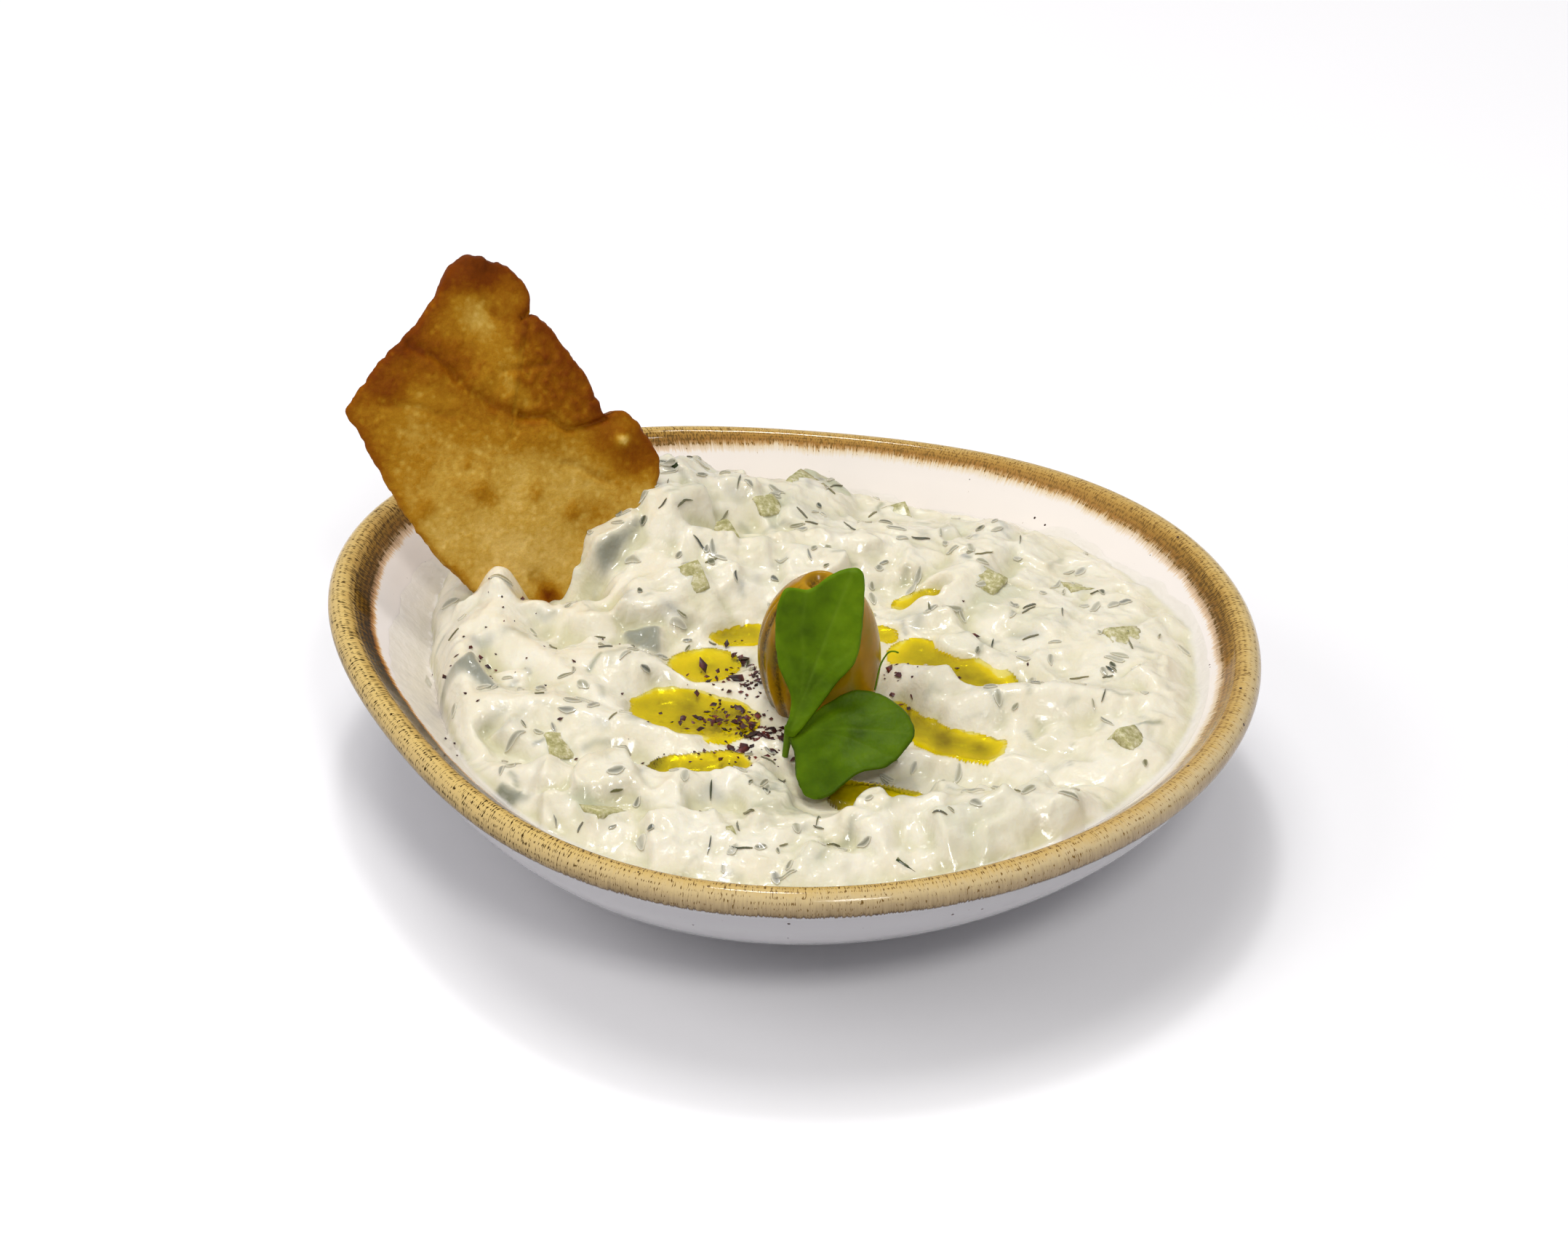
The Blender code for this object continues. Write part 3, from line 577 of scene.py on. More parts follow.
# Each die lifts the cream that coats it. The coat is thick over its edges and thin or wiped
# away in the middle of a bare face, and where it is thin the die shows through.
coat_drift = field(x, y, 0, 3.4, 9, 2)
warp_x, warp_y = 0.8 * field(x, y, 0, 4.5, 12, 2), 0.8 * field(x, y, 0, 4.5, 13, 2)
green = np.zeros(x.shape)
skinned = np.zeros(x.shape)
boxes = []
for die_x, die_y, over, size, yaw, tip, roll, bare, skin in dice:
    turned = turn_matrix(yaw, tip, roll)
    turned = turned * np.where(turned[2] < 0, -1, 1)
    sides = size / 2 * draw.uniform(0.75, 1.15, 3)
    wiped = draw.random(3) < bare
    side = int(np.argmin(turned[1]))
    wiped[side] |= skin == 2
    dx, dy = x - die_x, y - die_y
    close = dx**2 + dy**2 < (size * 1.4) ** 2
    dx, dy = dx[close], dy[close]
    near = np.argmin(dx**2 + dy**2)
    ground = height[close][near]
    if not wiped.any():
        dx, dy = dx + warp_x[close], dy + warp_y[close]
    steep = np.maximum(turned[2], 0.30)
    top = (sides / steep).min()
    centre = ground + over - top
    faces = np.array([
        centre + (sides[k] - turned[0, k] * dx - turned[1, k] * dy) / steep[k] for k in range(3)
    ])
    shown = np.argmin(faces, axis=0)
    ranked = np.sort(faces, axis=0)
    by_edge = np.exp(-(((ranked[1] - ranked[0]) / 1.1) ** 2))
    drift = coat_drift[close]
    coat = COAT + 0.35 * drift
    coat = np.where(wiped[shown], -0.75 + 1.0 * by_edge + 0.45 * drift, coat)
    hill = lower_to(lower_to(faces[0], faces[1], CORNER_BLEND), faces[2], CORNER_BLEND)
    patch = height[close]
    lift = np.clip((hill + coat - patch + 0.2) / 1.2, 0, 1)
    weight = draw.uniform(0.15, 1.05, 3) ** 2.4
    seen = lift * np.exp(-np.clip(coat - 0.25, 0, 2) / 0.5) * weight[shown]
    green[close] = np.maximum(green[close], seen)
    if skin:
        dark = lift * (shown == side) * (0.8 - 0.35 * by_edge)
        skinned[close] = np.maximum(skinned[close], dark)
    height[close] = raise_to(patch, hill + coat, 0.8)
    boxes.append((die_x, die_y, centre, sides, turned, wiped, skin))
height = softened(height, SOFTENING_PASSES)
green, skinned = softened(green, 2), softened(skinned, 2)

# Spoon streaks run round the middle, and the cream stands in soft folds with crisp crests.
turn = np.arctan2(y + 15, x - 4)
ring = np.hypot(x - 4, y + 15)
streaks = field(ring, 6 * np.cos(turn), 6 * np.sin(turn), 2.2, 5, 2)
bend_x, bend_y = 2.6 * field(x, y, 0, 8.0, 6, 2), 2.6 * field(x, y, 0, 8.0, 7, 2)
folds = 1 - np.abs(field(x + bend_x, y + bend_y, 0, 8.0, 8)) * 3
ripples = 1 - np.abs(field(x + bend_x, y + bend_y, 9, 2.8, 16)) * 3
calm_cream = 1 - 0.55 * np.clip(green * 1.5, 0, 1)
height += (0.28 * streaks + rough * calm_cream * (0.42 * folds + 0.16 * ripples)) * (1 - pool) - 0.2

# Towards the wall the cream rounds off and ends in a thin smear.
angle_base = inset(x, y)
insets, wall_heights = zip(*reversed(INNER_WALL))
wall = np.interp(angle_base, insets, wall_heights)
inside = np.clip((angle_base - edge) / EDGE_ROLL, 0, 1)
body = np.maximum(height - wall, 0) * np.sqrt(1 - (1 - inside) ** 2)
thin_out = np.clip((angle_base - edge + smear_width) / 0.8, 0, 1)
uneven_smear = SMEAR_THICKNESS * (1 + 0.8 * field(x, y, 0, 3.0, 15, 2)) * thin_out
height = wall + 0.02 + np.maximum(body, uneven_smear)
smear = 1 - np.clip((body - 0.1) / 1.2, 0, 1)

# Hollows read by comparing the surface with itself smoothed; the cream is painted darker and yellower in
# them as shade.
hollow = softened(height, 60) - height
hollow = np.clip(hollow / 0.8, 0, 1)

# Chopped dill well under the cream: short bent strokes, all of them blurred.
herb = np.zeros(x.shape)
STROKES = 190
for _ in range(STROKES):
    spin, far = draw.uniform(0, 2 * math.pi), math.sqrt(draw.uniform(0, 1))
    spread_out = (RIM_RADIUS - EDGE_INSET - 4) * float(egg(spin)) * far
    start = np.array((spread_out * math.cos(spin), spread_out * math.sin(spin)))
    way, bend = draw.uniform(0, 2 * math.pi), draw.normal(0, 0.5)
    long, wide_half = draw.uniform(0.6, 2.6), draw.choice((0.5, 0.8, 1.3), p=(0.4, 0.4, 0.2))
    deep = draw.uniform(0.15, 0.7) * (0.6 if wide_half > 0.7 else 1)
    mid = start + long * np.array((math.cos(way), math.sin(way)))
    end = mid + long * np.array((math.cos(way + bend), math.sin(way + bend)))
    close = (x - mid[0]) ** 2 + (y - mid[1]) ** 2 < (long + 2) ** 2
    distance, _ = nearest_on_path(x[close], y[close], (start, mid, end))
    herb[close] = np.maximum(herb[close], deep * np.exp(-((distance / wide_half) ** 2)))
herb *= 1 - pool

count = DIP_CELLS + 1
top_points = np.stack([x, y, height], -1).reshape(-1, 3)
loop = [i * count for i in range(DIP_CELLS)]
loop += [DIP_CELLS * count + j for j in range(DIP_CELLS)]
loop += [i * count + DIP_CELLS for i in range(DIP_CELLS, 0, -1)] + list(range(DIP_CELLS, 0, -1))
faces = grid_faces(count, count).tolist()
points = [top_points]
angles = np.arctan2(top_points[loop, 1], top_points[loop, 0])
first, total = np.array(loop), count * count
edge_line = inset(top_points[loop, 0], top_points[loop, 1])
for step_in in (1.2, 2.6, 4.2, 6, 8.5, 13, 20, 34):
    ring_inset = edge_line + step_in
    reach = (RIM_RADIUS - ring_inset) * egg(angles)
    ring_height = np.interp(ring_inset, insets, wall_heights) + 0.01
    points.append(np.stack([reach * np.cos(angles), reach * np.sin(angles), ring_height], -1))
    second = total + np.arange(len(loop))
    faces += np.stack([np.roll(first, -1), first, second, np.roll(second, -1)], -1).tolist()
    first, total = second, total + len(loop)
points.append(np.array([[0, 0, INNER_WALL[0][1] + 0.05]]))
faces += [[int(first[(i + 1) % len(loop)]), int(first[i]), total] for i in range(len(loop))]
points = np.vstack(points)


def padded_out(values):
    return np.concatenate([values.ravel(), np.zeros(len(points) - values.size)])


# Strained yoghurt: dense white fat and protein, so light goes a little way in and comes back
# warm. Its wet surface is smooth and glossy, with fine pits that catch the light.
cream, t, shader = new_material("strained_yoghurt")
tints = {
    title: add_node(t, "ShaderNodeAttribute", {"attribute_name": title}, {}).outputs["Fac"]
    for title in ("cucumber_under", "skin_under", "dill_under", "hollow", "oil_film", "smear")
}
spot = add_node(t, "ShaderNodeNewGeometry", {}, {}).outputs["Position"]
cloud = add_node(t, "ShaderNodeTexNoise", {}, {"Vector": spot, "Scale": 120.0, "Detail": 3.0})
grain = add_node(t, "ShaderNodeTexNoise", {}, {"Vector": spot, "Scale": 900.0, "Detail": 2.0})
base = add_node(
    t, "ShaderNodeValToRGB", {"ramp": ((0.35, "#e1dbc9"), (0.65, "#dcd4bd"))},
    {"Fac": cloud.outputs["Fac"]},
).outputs["Color"]
herb_tone = add_node(
    t, "ShaderNodeValToRGB", {"ramp": ((0.42, "#56636c"), (0.52, "#5a6656"), (0.62, "#6c7349"))},
    {"Fac": cloud.outputs["Fac"]},
).outputs["Color"]
# The layer for hollows is painted shade: it darkens and yellows the cream where the surface dips.
LAYERS = (
    ("hollow", "#b9b487", 0.6), ("cucumber_under", "#abad8d", 0.85), ("skin_under", "#3c4a40", 0.85),
    ("dill_under", herb_tone, 0.9), ("oil_film", "#e0cd74", 0.4), ("smear", "#e0d9d3", 0.8),
)
for title, colour, most in LAYERS:
    share = add_node(
        t, "ShaderNodeMath", {"operation": "MULTIPLY", "use_clamp": True},
        {0: tints[title], 1: most},
    ).outputs[0]
    base = add_node(
        t, "ShaderNodeMix", {"data_type": "RGBA"}, {"Factor": share, 6: base, 7: colour}
    ).outputs[2]
pits = add_node(
    t, "ShaderNodeBump", {}, {"Strength": 0.35, "Distance": 0.0003, "Height": grain.outputs["Fac"]}
)
lumps = add_node(t, "ShaderNodeTexNoise", {}, {"Vector": spot, "Scale": 420.0, "Detail": 2.0})
uneven = add_node(
    t, "ShaderNodeBump", {},
    {"Strength": 0.5, "Distance": 0.0005, "Height": lumps.outputs["Fac"], "Normal": pits.outputs[0]},
)
t.links.new(base, shader.inputs["Base Color"])
t.links.new(uneven.outputs[0], shader.inputs["Normal"])
shader.inputs["Roughness"].default_value = 0.28
shader.inputs["IOR"].default_value = 1.4
# The smear is too thin for light to wander in it.
deep_enough = add_node(
    t, "ShaderNodeMapRange", {}, {0: tints["smear"], 3: 0.35, 4: 0.0}
).outputs[0]
t.links.new(deep_enough, shader.inputs["Subsurface Weight"])
shader.inputs["Subsurface Radius"].default_value = (1.0, 0.75, 0.45)
shader.inputs["Subsurface Scale"].default_value = 0.0020
shader.inputs["Coat Weight"].default_value = 0.5
shader.inputs["Coat Roughness"].default_value = 0.08

new_piece(
    "swirled_dip", points, faces, cream, ("dip",),
    {
        "cucumber_under": padded_out(green), "skin_under": padded_out(skinned),
        "dill_under": padded_out(herb), "hollow": padded_out(hollow),
        "oil_film": padded_out(pool * np.clip((33.2 - height) / 2.0, 0, 1)),
        "smear": padded_out(smear),
    },
)


# ---------------------------------------------------------------------------------------
# Cucumber. Flesh diced by knife, some with the dark skin left on, stirred into the yoghurt.
# Each die is a block that stands where its lump is, and only its bare face comes through.

FACE_CELLS = 7
box_points, box_faces, box_skin = [], [], []
cells = np.linspace(-1, 1, FACE_CELLS + 1)
u, v = (c.ravel() for c in np.meshgrid(cells, cells, indexing="ij"))
for die_x, die_y, centre, sides, turned, wiped, skin in boxes:
    if not wiped.any():
        continue
    side_of_skin = int(np.argmin(turned[1]))
    for axis in range(3):
        for sign in (1, -1):
            unit = np.zeros((len(u), 3))
            unit[:, axis], unit[:, (axis + 1) % 3], unit[:, (axis + 2) % 3] = sign, u * sign, v
            # Edges are softened by pulling the corners in.
            round_in = 1 - 0.07 * (np.abs(unit) ** 8).sum(1, keepdims=True) / 3
            local = unit * round_in * (sides - 0.05)
            place = local @ turned.T + (die_x, die_y, centre)
            place += 0.10 * np.stack(
                [field(*place.T, 1.6, 20 + k) for k in range(3)], axis=-1
            )
            box_faces.append(grid_faces(FACE_CELLS + 1, FACE_CELLS + 1) + sum(map(len, box_points)))
            box_points.append(place)
            dark = bool(skin) and axis == side_of_skin and sign == 1
            rim_dark = np.zeros(len(u))
            if skin and axis != side_of_skin:
                rim_dark = np.clip((unit[:, side_of_skin] - 0.72) / 0.2, 0, 1)
            box_skin.append(np.full(len(u), 1.0) if dark else rim_dark)

# Cucumber flesh: wet, glassy and grey-green, with fine veins; its skin is dark bottle green.
flesh, t, shader = new_material("cucumber_flesh")
spot = add_node(t, "ShaderNodeNewGeometry", {}, {}).outputs["Position"]
veins = add_node(
    t, "ShaderNodeTexNoise", {}, {"Vector": spot, "Scale": 900.0, "Detail": 3.0, "Roughness": 0.7}
)
pale = add_node(
    t, "ShaderNodeValToRGB",
    {"ramp": ((0.35, "#948f5c"), (0.52, "#b4ad80"), (0.68, "#d2ccae"))},
    {"Fac": veins.outputs["Fac"]},
).outputs["Color"]
peel = add_node(t, "ShaderNodeAttribute", {"attribute_name": "peel"}, {}).outputs["Fac"]
coloured = add_node(
    t, "ShaderNodeMix", {"data_type": "RGBA"}, {"Factor": peel, 6: pale, 7: "#2f3a1e"}
).outputs[2]
t.links.new(coloured, shader.inputs["Base Color"])
shader.inputs["Roughness"].default_value = 0.18
shader.inputs["IOR"].default_value = 1.36
shader.inputs["Subsurface Weight"].default_value = 0.35
shader.inputs["Subsurface Radius"].default_value = (0.8, 1.0, 0.5)
shader.inputs["Subsurface Scale"].default_value = 0.0015

new_piece(
    "cucumber_dice", np.vstack(box_points), np.vstack(box_faces), flesh,
    attributes={"peel": np.concatenate(box_skin)},
)


# ---------------------------------------------------------------------------------------
# Olive oil. Poured over at the end, it stands level in the spoon's hollows and goes from pale
# where it is thin to deep gold where it is a millimetre or more deep.

OIL_EDGE_RISE = 0.25
near_pool = np.zeros(x.shape, bool)
for half_width, floor_level, _, path in HOLLOWS.values():
    if floor_level == OIL_LEVEL:
        distance, _ = nearest_on_path(x, y, path)
        near_pool |= distance < half_width * 1.35 + 0.4
depth = OIL_LEVEL - height
held = near_pool & (depth > -0.5)
keep = held[:-1, :-1] & held[1:, :-1] & held[1:, 1:] & held[:-1, 1:]
rise = OIL_EDGE_RISE * np.exp(-np.clip(depth, 0, None) / 0.25)
oil_top = np.stack([x, y, OIL_LEVEL + rise], -1).reshape(-1, 3)
oil_bed = np.stack([x, y, np.minimum(height, OIL_LEVEL) - 0.35], -1).reshape(-1, 3)
quads = grid_faces(count, count)[keep.ravel()]
ends = np.concatenate([quads[:, [k, (k + 1) % 4]] for k in range(4)])
codes = np.sort(ends, axis=1) @ (1, count * count)
_, first_at, times = np.unique(codes, return_index=True, return_counts=True)
rim = ends[first_at[times == 1]]
shift = len(oil_top)
walls = np.column_stack([rim[:, 1], rim[:, 0], rim[:, 0] + shift, rim[:, 1] + shift])
oil_faces = np.vstack([quads, quads[:, ::-1] + shift, walls])
used, packed = np.unique(oil_faces, return_inverse=True)
oil_points = np.vstack([oil_top, oil_bed])[used]
oil_depth = np.tile(np.clip(depth.ravel(), 0, 2), 2)[used]

# Olive oil: a clear liquid that drinks blue light, so a thin film is lemon and a pool is gold.
# Its level surface mirrors the lamps; the light that enters it is dyed on its way down and up.
oil = bpy.data.materials.new("olive_oil")
oil.use_nodes = True
t = oil.node_tree
t.nodes.remove(t.nodes["Principled BSDF"])
deep = add_node(t, "ShaderNodeAttribute", {"attribute_name": "oil_depth"}, {}).outputs["Fac"]
spot = add_node(t, "ShaderNodeNewGeometry", {}, {}).outputs["Position"]
swirl = add_node(t, "ShaderNodeTexNoise", {}, {"Vector": spot, "Scale": 260.0, "Detail": 2.0})
blotch = add_node(
    t, "ShaderNodeMath", {"operation": "MULTIPLY_ADD"}, {0: swirl.outputs["Fac"], 1: 1.8, 2: -0.95}
)
thick = add_node(t, "ShaderNodeMath", {}, {0: deep, 1: blotch.outputs[0]})
dye = add_node(
    t, "ShaderNodeValToRGB",
    {"ramp": ((0.0, "#fbf8c4"), (0.12, "#faf04c"), (0.4, "#f2ea1e"), (0.7, "#e0da14"), (1.0, "#b6ac10"))},
    {"Fac": add_node(t, "ShaderNodeMapRange", {}, {0: thick.outputs[0], 2: 2.2}).outputs[0]},
).outputs["Color"]
clear = add_node(t, "ShaderNodeBsdfTransparent", {}, {"Color": dye})
gleam = add_node(t, "ShaderNodeBsdfGlossy", {}, {"Color": "#ffffff", "Roughness": 0.03})
facing = add_node(t, "ShaderNodeFresnel", {}, {"IOR": 1.27})
surface = add_node(
    t, "ShaderNodeMixShader", {}, {0: facing.outputs[0], 1: clear.outputs[0], 2: gleam.outputs[0]}
)
t.links.new(surface.outputs[0], t.nodes["Material Output"].inputs["Surface"])

new_piece(
    "olive_oil_pools", oil_points, packed.reshape(oil_faces.shape), oil,
    attributes={"oil_depth": oil_depth},
)


# ---------------------------------------------------------------------------------------
# Pita chip. A torn piece of flat bread fried until it blisters and browns, with crisp uneven
# edges. It is pushed into the dip and leans back on the bowl's rim.

CHIP_PLACE = (-62, 20, 33)
CHIP_FACING = math.radians(-70)
CHIP_LEAN = math.radians(68)
CHIP_THICKNESS = 3.4
CHIP_OUTLINE = (
    (9.4, 66.2), (13, 64.6), (17.2, 61.8), (19.8, 57.4), (19.4, 54.2), (17.3, 52.4), (19.8, 52.9),
    (23.1, 50.0), (25.4, 45.6), (27.9, 41.4), (30.6, 34.8), (31.8, 31.4), (34.0, 31.5), (36.6, 30.6),
    (39.4, 26.2), (41.3, 18.5), (37, 6), (29, -4), (20, -10), (11, -10), (4, -3), (-5.5, 8.7),
    (-10.6, 18), (-14.3, 26.9), (-17.3, 35.6), (-19.2, 40.0), (-15.9, 44.0), (-11.2, 48.4),
    (-6.4, 52.4), (-2.2, 55.6), (1.4, 59.6), (4.6, 64.2),
)
CHIP_MIDDLE = (11, 27)
# Swellings and dents of the fried dough: across, up, radius, rise.
CHIP_BLISTERS = (
    (18.6, 29.7, 3.6, 0.7), (33.9, 25.8, 1.5, 0.9), (35, 27, 4.0, 0.9), (3.9, 21.2, 3.2, 0.45),
    (2.4, 26.6, 1.6, 0.25), (-6.7, 18.5, 2.2, 0.35), (15.4, 18.5, 2.0, 0.3), (21.8, 13.4, 1.7, 0.35),
    (9.4, 53, 4.5, -0.5), (6, 41.5, 2.6, 0.5), (12.3, 37.6, 2.2, 0.45), (-1, 44.5, 2.4, 0.4),
    (8.6, 42.5, 1.8, 0.4), (14.5, 41, 2.2, 0.4), (-10, 42.8, 2.6, 0.4), (26, 9, 4.5, -0.5),
    (-4, 32, 8, -0.6), (13, 10, 8, 0.6), (36, 12, 5, 0.8), (8, 62, 4, 0.9),
)
# Creases: half width, depth, and the line along the bottom (across, up).
CHIP_CREASES = (
    (0.9, 0.75, ((-5.4, 51.1), (-0.1, 47.8), (3.2, 43.0), (5.6, 39.7), (9.2, 37.1), (14.7, 33.8))),
    (0.7, 0.45, ((12.5, 42.9), (16, 42.6), (21, 43.4))),
    (0.7, 0.95, ((14.8, 33.6), (19.6, 33.2), (23.6, 29.8), (27, 29.3), (31.2, 30.2))),
    (0.8, 0.45, ((22.0, 23.0), (26.8, 20.6), (30.6, 18.0))),
    (0.7, 0.40, ((10.4, 56.6), (12, 54.3), (13.9, 53.0))),
    (1.3, 0.90, ((12.9, 1.8), (14.9, -2.0), (16.6, -5.4))),
    (0.8, 0.35, ((-12, 40.5), (-6, 39.0), (1, 36.0))),
)
# Where the upper right side was folded over, twice as rough: across, up, radius.
CHIP_FLAP = ((19.5, 47.5, 3.6), (20.5, 43.5, 4.0), (23, 38.5, 5.0), (27.5, 33.5, 3.6), (17.5, 42, 3.0))
CHIP_CURL = 0.0016
CHIP_RINGS = 62


def way_of(facing, lean):
    """Across, up and out directions of a flat thing that faces this way and leans back."""
    out = np.array((math.cos(facing) * math.sin(lean), math.sin(facing) * math.sin(lean), math.cos(lean)))
    across = np.array((-math.sin(facing), math.cos(facing), 0))
    return across, np.cross(out, across), out


def slab_grid(outline, middle, rings, edge_power):
    """Flat points in rings from the outline to the middle, on two sides, and their faces.

    Returns across, up, side and how full the thickness is there; side is 1 in front, -1 behind.
    """
    count = len(outline)
    fractions = np.concatenate([[1.0], 1 - np.linspace(0, 1, rings + 1)[1:-1] ** edge_power])
    flat, side, full = [], [], []
    for sign in (1, -1):
        for fraction in fractions if sign == 1 else fractions[1:]:
            flat.append(middle + (outline - middle) * fraction)
            side.append(np.full(count, sign))
            full.append(np.full(count, 0.0 if fraction == 1.0 else 1.0 - (2 * fraction - 1) ** 16))
        flat.append(np.array([middle], float))
        side.append(np.array([sign]))
        full.append(np.array([1.0]))
    faces = []
    start = np.arange(count)
    for sign in (1, -1):
        above, base = start, 0 if sign == 1 else count * len(fractions) + 1 - count
        for ring_number in range(1, len(fractions)):
            below = base + ring_number * count + start
            quads = np.stack([above, np.roll(above, -1), np.roll(below, -1), below], -1)
            faces += (quads if sign == 1 else quads[:, ::-1]).tolist()
            above = below
        tip = base + len(fractions) * count
        for i in range(count):
            pair = [int(above[i]), int(above[(i + 1) % count])]
            faces.append([*(pair if sign == 1 else pair[::-1]), tip])
    flat = np.vstack(flat)
    return flat[:, 0], flat[:, 1], np.concatenate(side), np.concatenate(full), faces


outline = smooth_line(CHIP_OUTLINE, 0.5, closed=True)
outward = outline - CHIP_MIDDLE
outward /= np.linalg.norm(outward, axis=1, keepdims=True)
torn = 0.38 * field(*outline.T, 0, 1.9, 31, 3) + 0.35 * field(*outline.T, 0, 6.0, 32)
outline = outline + outward * torn[:, None]
chip_u, chip_v, chip_side, chip_full, chip_faces = slab_grid(
    outline, np.array(CHIP_MIDDLE, float), CHIP_RINGS, 1.0
)
lift = -CHIP_CURL * (chip_u - CHIP_MIDDLE[0]) ** 2
for blister_u, blister_v, blister_radius, blister_rise in CHIP_BLISTERS:
    gap = np.hypot(chip_u - blister_u, chip_v - blister_v)
    lift += blister_rise * np.exp(-((gap / blister_radius) ** 2))
nearest = np.full(len(chip_u), np.inf)
for i in range(0, len(chip_u), 4000):
    part = slice(i, i + 4000)
    away = np.hypot(chip_u[part, None] - outline[:, 0], chip_v[part, None] - outline[:, 1])
    nearest[part] = away.min(axis=1)
roundness = (1 - (1 - np.clip(nearest / 1.3, 0, 1)) ** 3) ** 0.5
coarse = field(chip_u, chip_v, chip_side * 5, 7.0, 33, 3)
fine = field(chip_u, chip_v, chip_side * 5, 1.7, 34, 3)
flap = np.zeros(len(chip_u))
for flap_u, flap_v, flap_radius in CHIP_FLAP:
    gap = np.hypot(chip_u - flap_u, chip_v - flap_v) / flap_radius
    flap = np.maximum(flap, np.clip(1.6 - gap, 0, 1))
flap = flap * flap * (3 - 2 * flap)
# Painted shade: the crust is coloured darker along each crease, more for the deeper ones.
crease_shade = np.zeros(len(chip_u))
in_front = chip_side > 0
for half_width, depth, path in CHIP_CREASES:
    away, _ = nearest_on_path(chip_u + 0.7 * fine, chip_v + 0.7 * coarse, path)
    lift -= depth * np.exp(-((away / half_width) ** 2)) * in_front
    crease_shade = np.maximum(crease_shade, depth * np.exp(-((away / (1.6 * half_width)) ** 2)))
crumple_away, _ = nearest_on_path(chip_u, chip_v, CHIP_CREASES[0][2])
crumple = np.exp(-((crumple_away / 6.0) ** 2))
half = roundness * CHIP_THICKNESS / 2
half += roundness * (0.16 * coarse + (0.08 + 0.22 * flap + 0.16 * crumple) * fine + 0.35 * flap)
thick_out = lift * roundness + chip_side * half
chip_across, chip_up, chip_out = way_of(CHIP_FACING, CHIP_LEAN)
chip_points = (
    np.array(CHIP_PLACE) + chip_u[:, None] * chip_across + chip_v[:, None] * chip_up
    + thick_out[:, None] * chip_out
)
# How brown, with painted shade along the creases: the edges, the crumple, the flap, and spots
# where a blister touched the pan, with paler fields between: across, up, radius, amount.
SPOTS = (
    (2.4, 26.6, 1.6, 0.25), (5.0, 20.0, 2.4, 0.30), (6.6, 18.2, 1.6, 0.25), (-6.7, 18.5, 2.2, 0.35),
    (15.4, 18.5, 2.0, 0.25), (21.8, 13.4, 1.6, 0.30), (15.2, -2.2, 2.2, 0.9), (27, 12, 5, 0.35),
    (-10.4, 43, 3.4, 0.6), (10.5, 62.5, 5, 0.75), (12.2, 54.8, 1.3, 0.3), (4.5, 47.5, 5, 0.25),
    (36.5, 22, 5.5, 0.75), (33.9, 25.8, 1.2, -0.9), (30, 27, 4, 0.35), (-4, 45, 4, 0.25),
    (9.5, 53.5, 4.5, -0.25), (5.5, 58, 3, -0.15), (-8, 34, 5, -0.1), (8, 9, 8, -0.08), (3, 34, 5, 0.1),
)
# Browner up the chip and paler low down; the paler lower part is painted light, standing in for more light
# falling and bouncing onto it.
browning_and_shading = 0.20 + 0.24 * np.clip((chip_v - 18) / 10, 0, 1) + 0.08 * np.clip((chip_v - 44) / 8, 0, 1)
edge_share = np.clip(0.1 + (chip_v - 12) / 26, 0.1, 1)
browning_and_shading += 0.30 * np.exp(-((nearest / 1.5) ** 2)) + 0.34 * edge_share * np.exp(-((nearest / 5.0) ** 2))
# The crease term is painted shade; the crumple and the flap are browner crust.
browning_and_shading += 0.24 * crumple + 0.36 * flap + 0.20 * crease_shade
for spot_u, spot_v, spot_size, amount in SPOTS:
    gap = np.hypot(chip_u - spot_u + 0.8 * coarse, (chip_v - spot_v) * 1.15 + 0.8 * fine)
    browning_and_shading += amount * np.exp(-((gap / spot_size) ** 2))
browning_and_shading += 0.15 * coarse + (0.07 + 0.16 * flap + 0.08 * crumple) * fine
browning_and_shading[chip_side < 0] += 0.15

# Fried wheat crust: dry and blistered, straw where it is thin and toffee at its edges, with
# oil left in it that gives a low satin gloss.
crust, t, shader = new_material("fried_pita_crust")
spot = add_node(t, "ShaderNodeNewGeometry", {}, {}).outputs["Position"]
toast_and_shading = add_node(t, "ShaderNodeAttribute", {"attribute_name": "toasted"}, {}).outputs["Fac"]
mottle = add_node(
    t, "ShaderNodeTexNoise", {}, {"Vector": spot, "Scale": 850.0, "Detail": 4.0, "Roughness": 0.7}
)
mottled = add_node(
    t, "ShaderNodeMath", {"operation": "MULTIPLY_ADD"}, {0: mottle.outputs["Fac"], 1: 0.55, 2: -0.275}
)
bubbles = add_node(t, "ShaderNodeTexVoronoi", {}, {"Vector": spot, "Scale": 520.0})
pale_bubble = add_node(
    t, "ShaderNodeMapRange", {}, {0: bubbles.outputs["Distance"], 1: 0.1, 2: 0.4, 3: -0.12, 4: 0.03}
)
grainy = add_node(t, "ShaderNodeMath", {}, {0: mottled.outputs[0], 1: pale_bubble.outputs[0]})
amount = add_node(t, "ShaderNodeMath", {}, {0: toast_and_shading, 1: grainy.outputs[0]})
fried = add_node(
    t, "ShaderNodeValToRGB",
    {
        "ramp": (
            (0.0, "#d9b665"), (0.17, "#c0983e"), (0.33, "#a87616"), (0.52, "#8d5404"),
            (0.75, "#733602"), (1.0, "#582602"),
        )
    },
    {"Fac": add_node(t, "ShaderNodeMapRange", {}, {0: amount.outputs[0], 2: 1.7}).outputs[0]},
).outputs["Color"]
pores = add_node(
    t, "ShaderNodeBump", {}, {"Strength": 0.6, "Distance": 0.0004, "Height": mottle.outputs["Fac"]}
)
t.links.new(fried, shader.inputs["Base Color"])
t.links.new(pores.outputs[0], shader.inputs["Normal"])
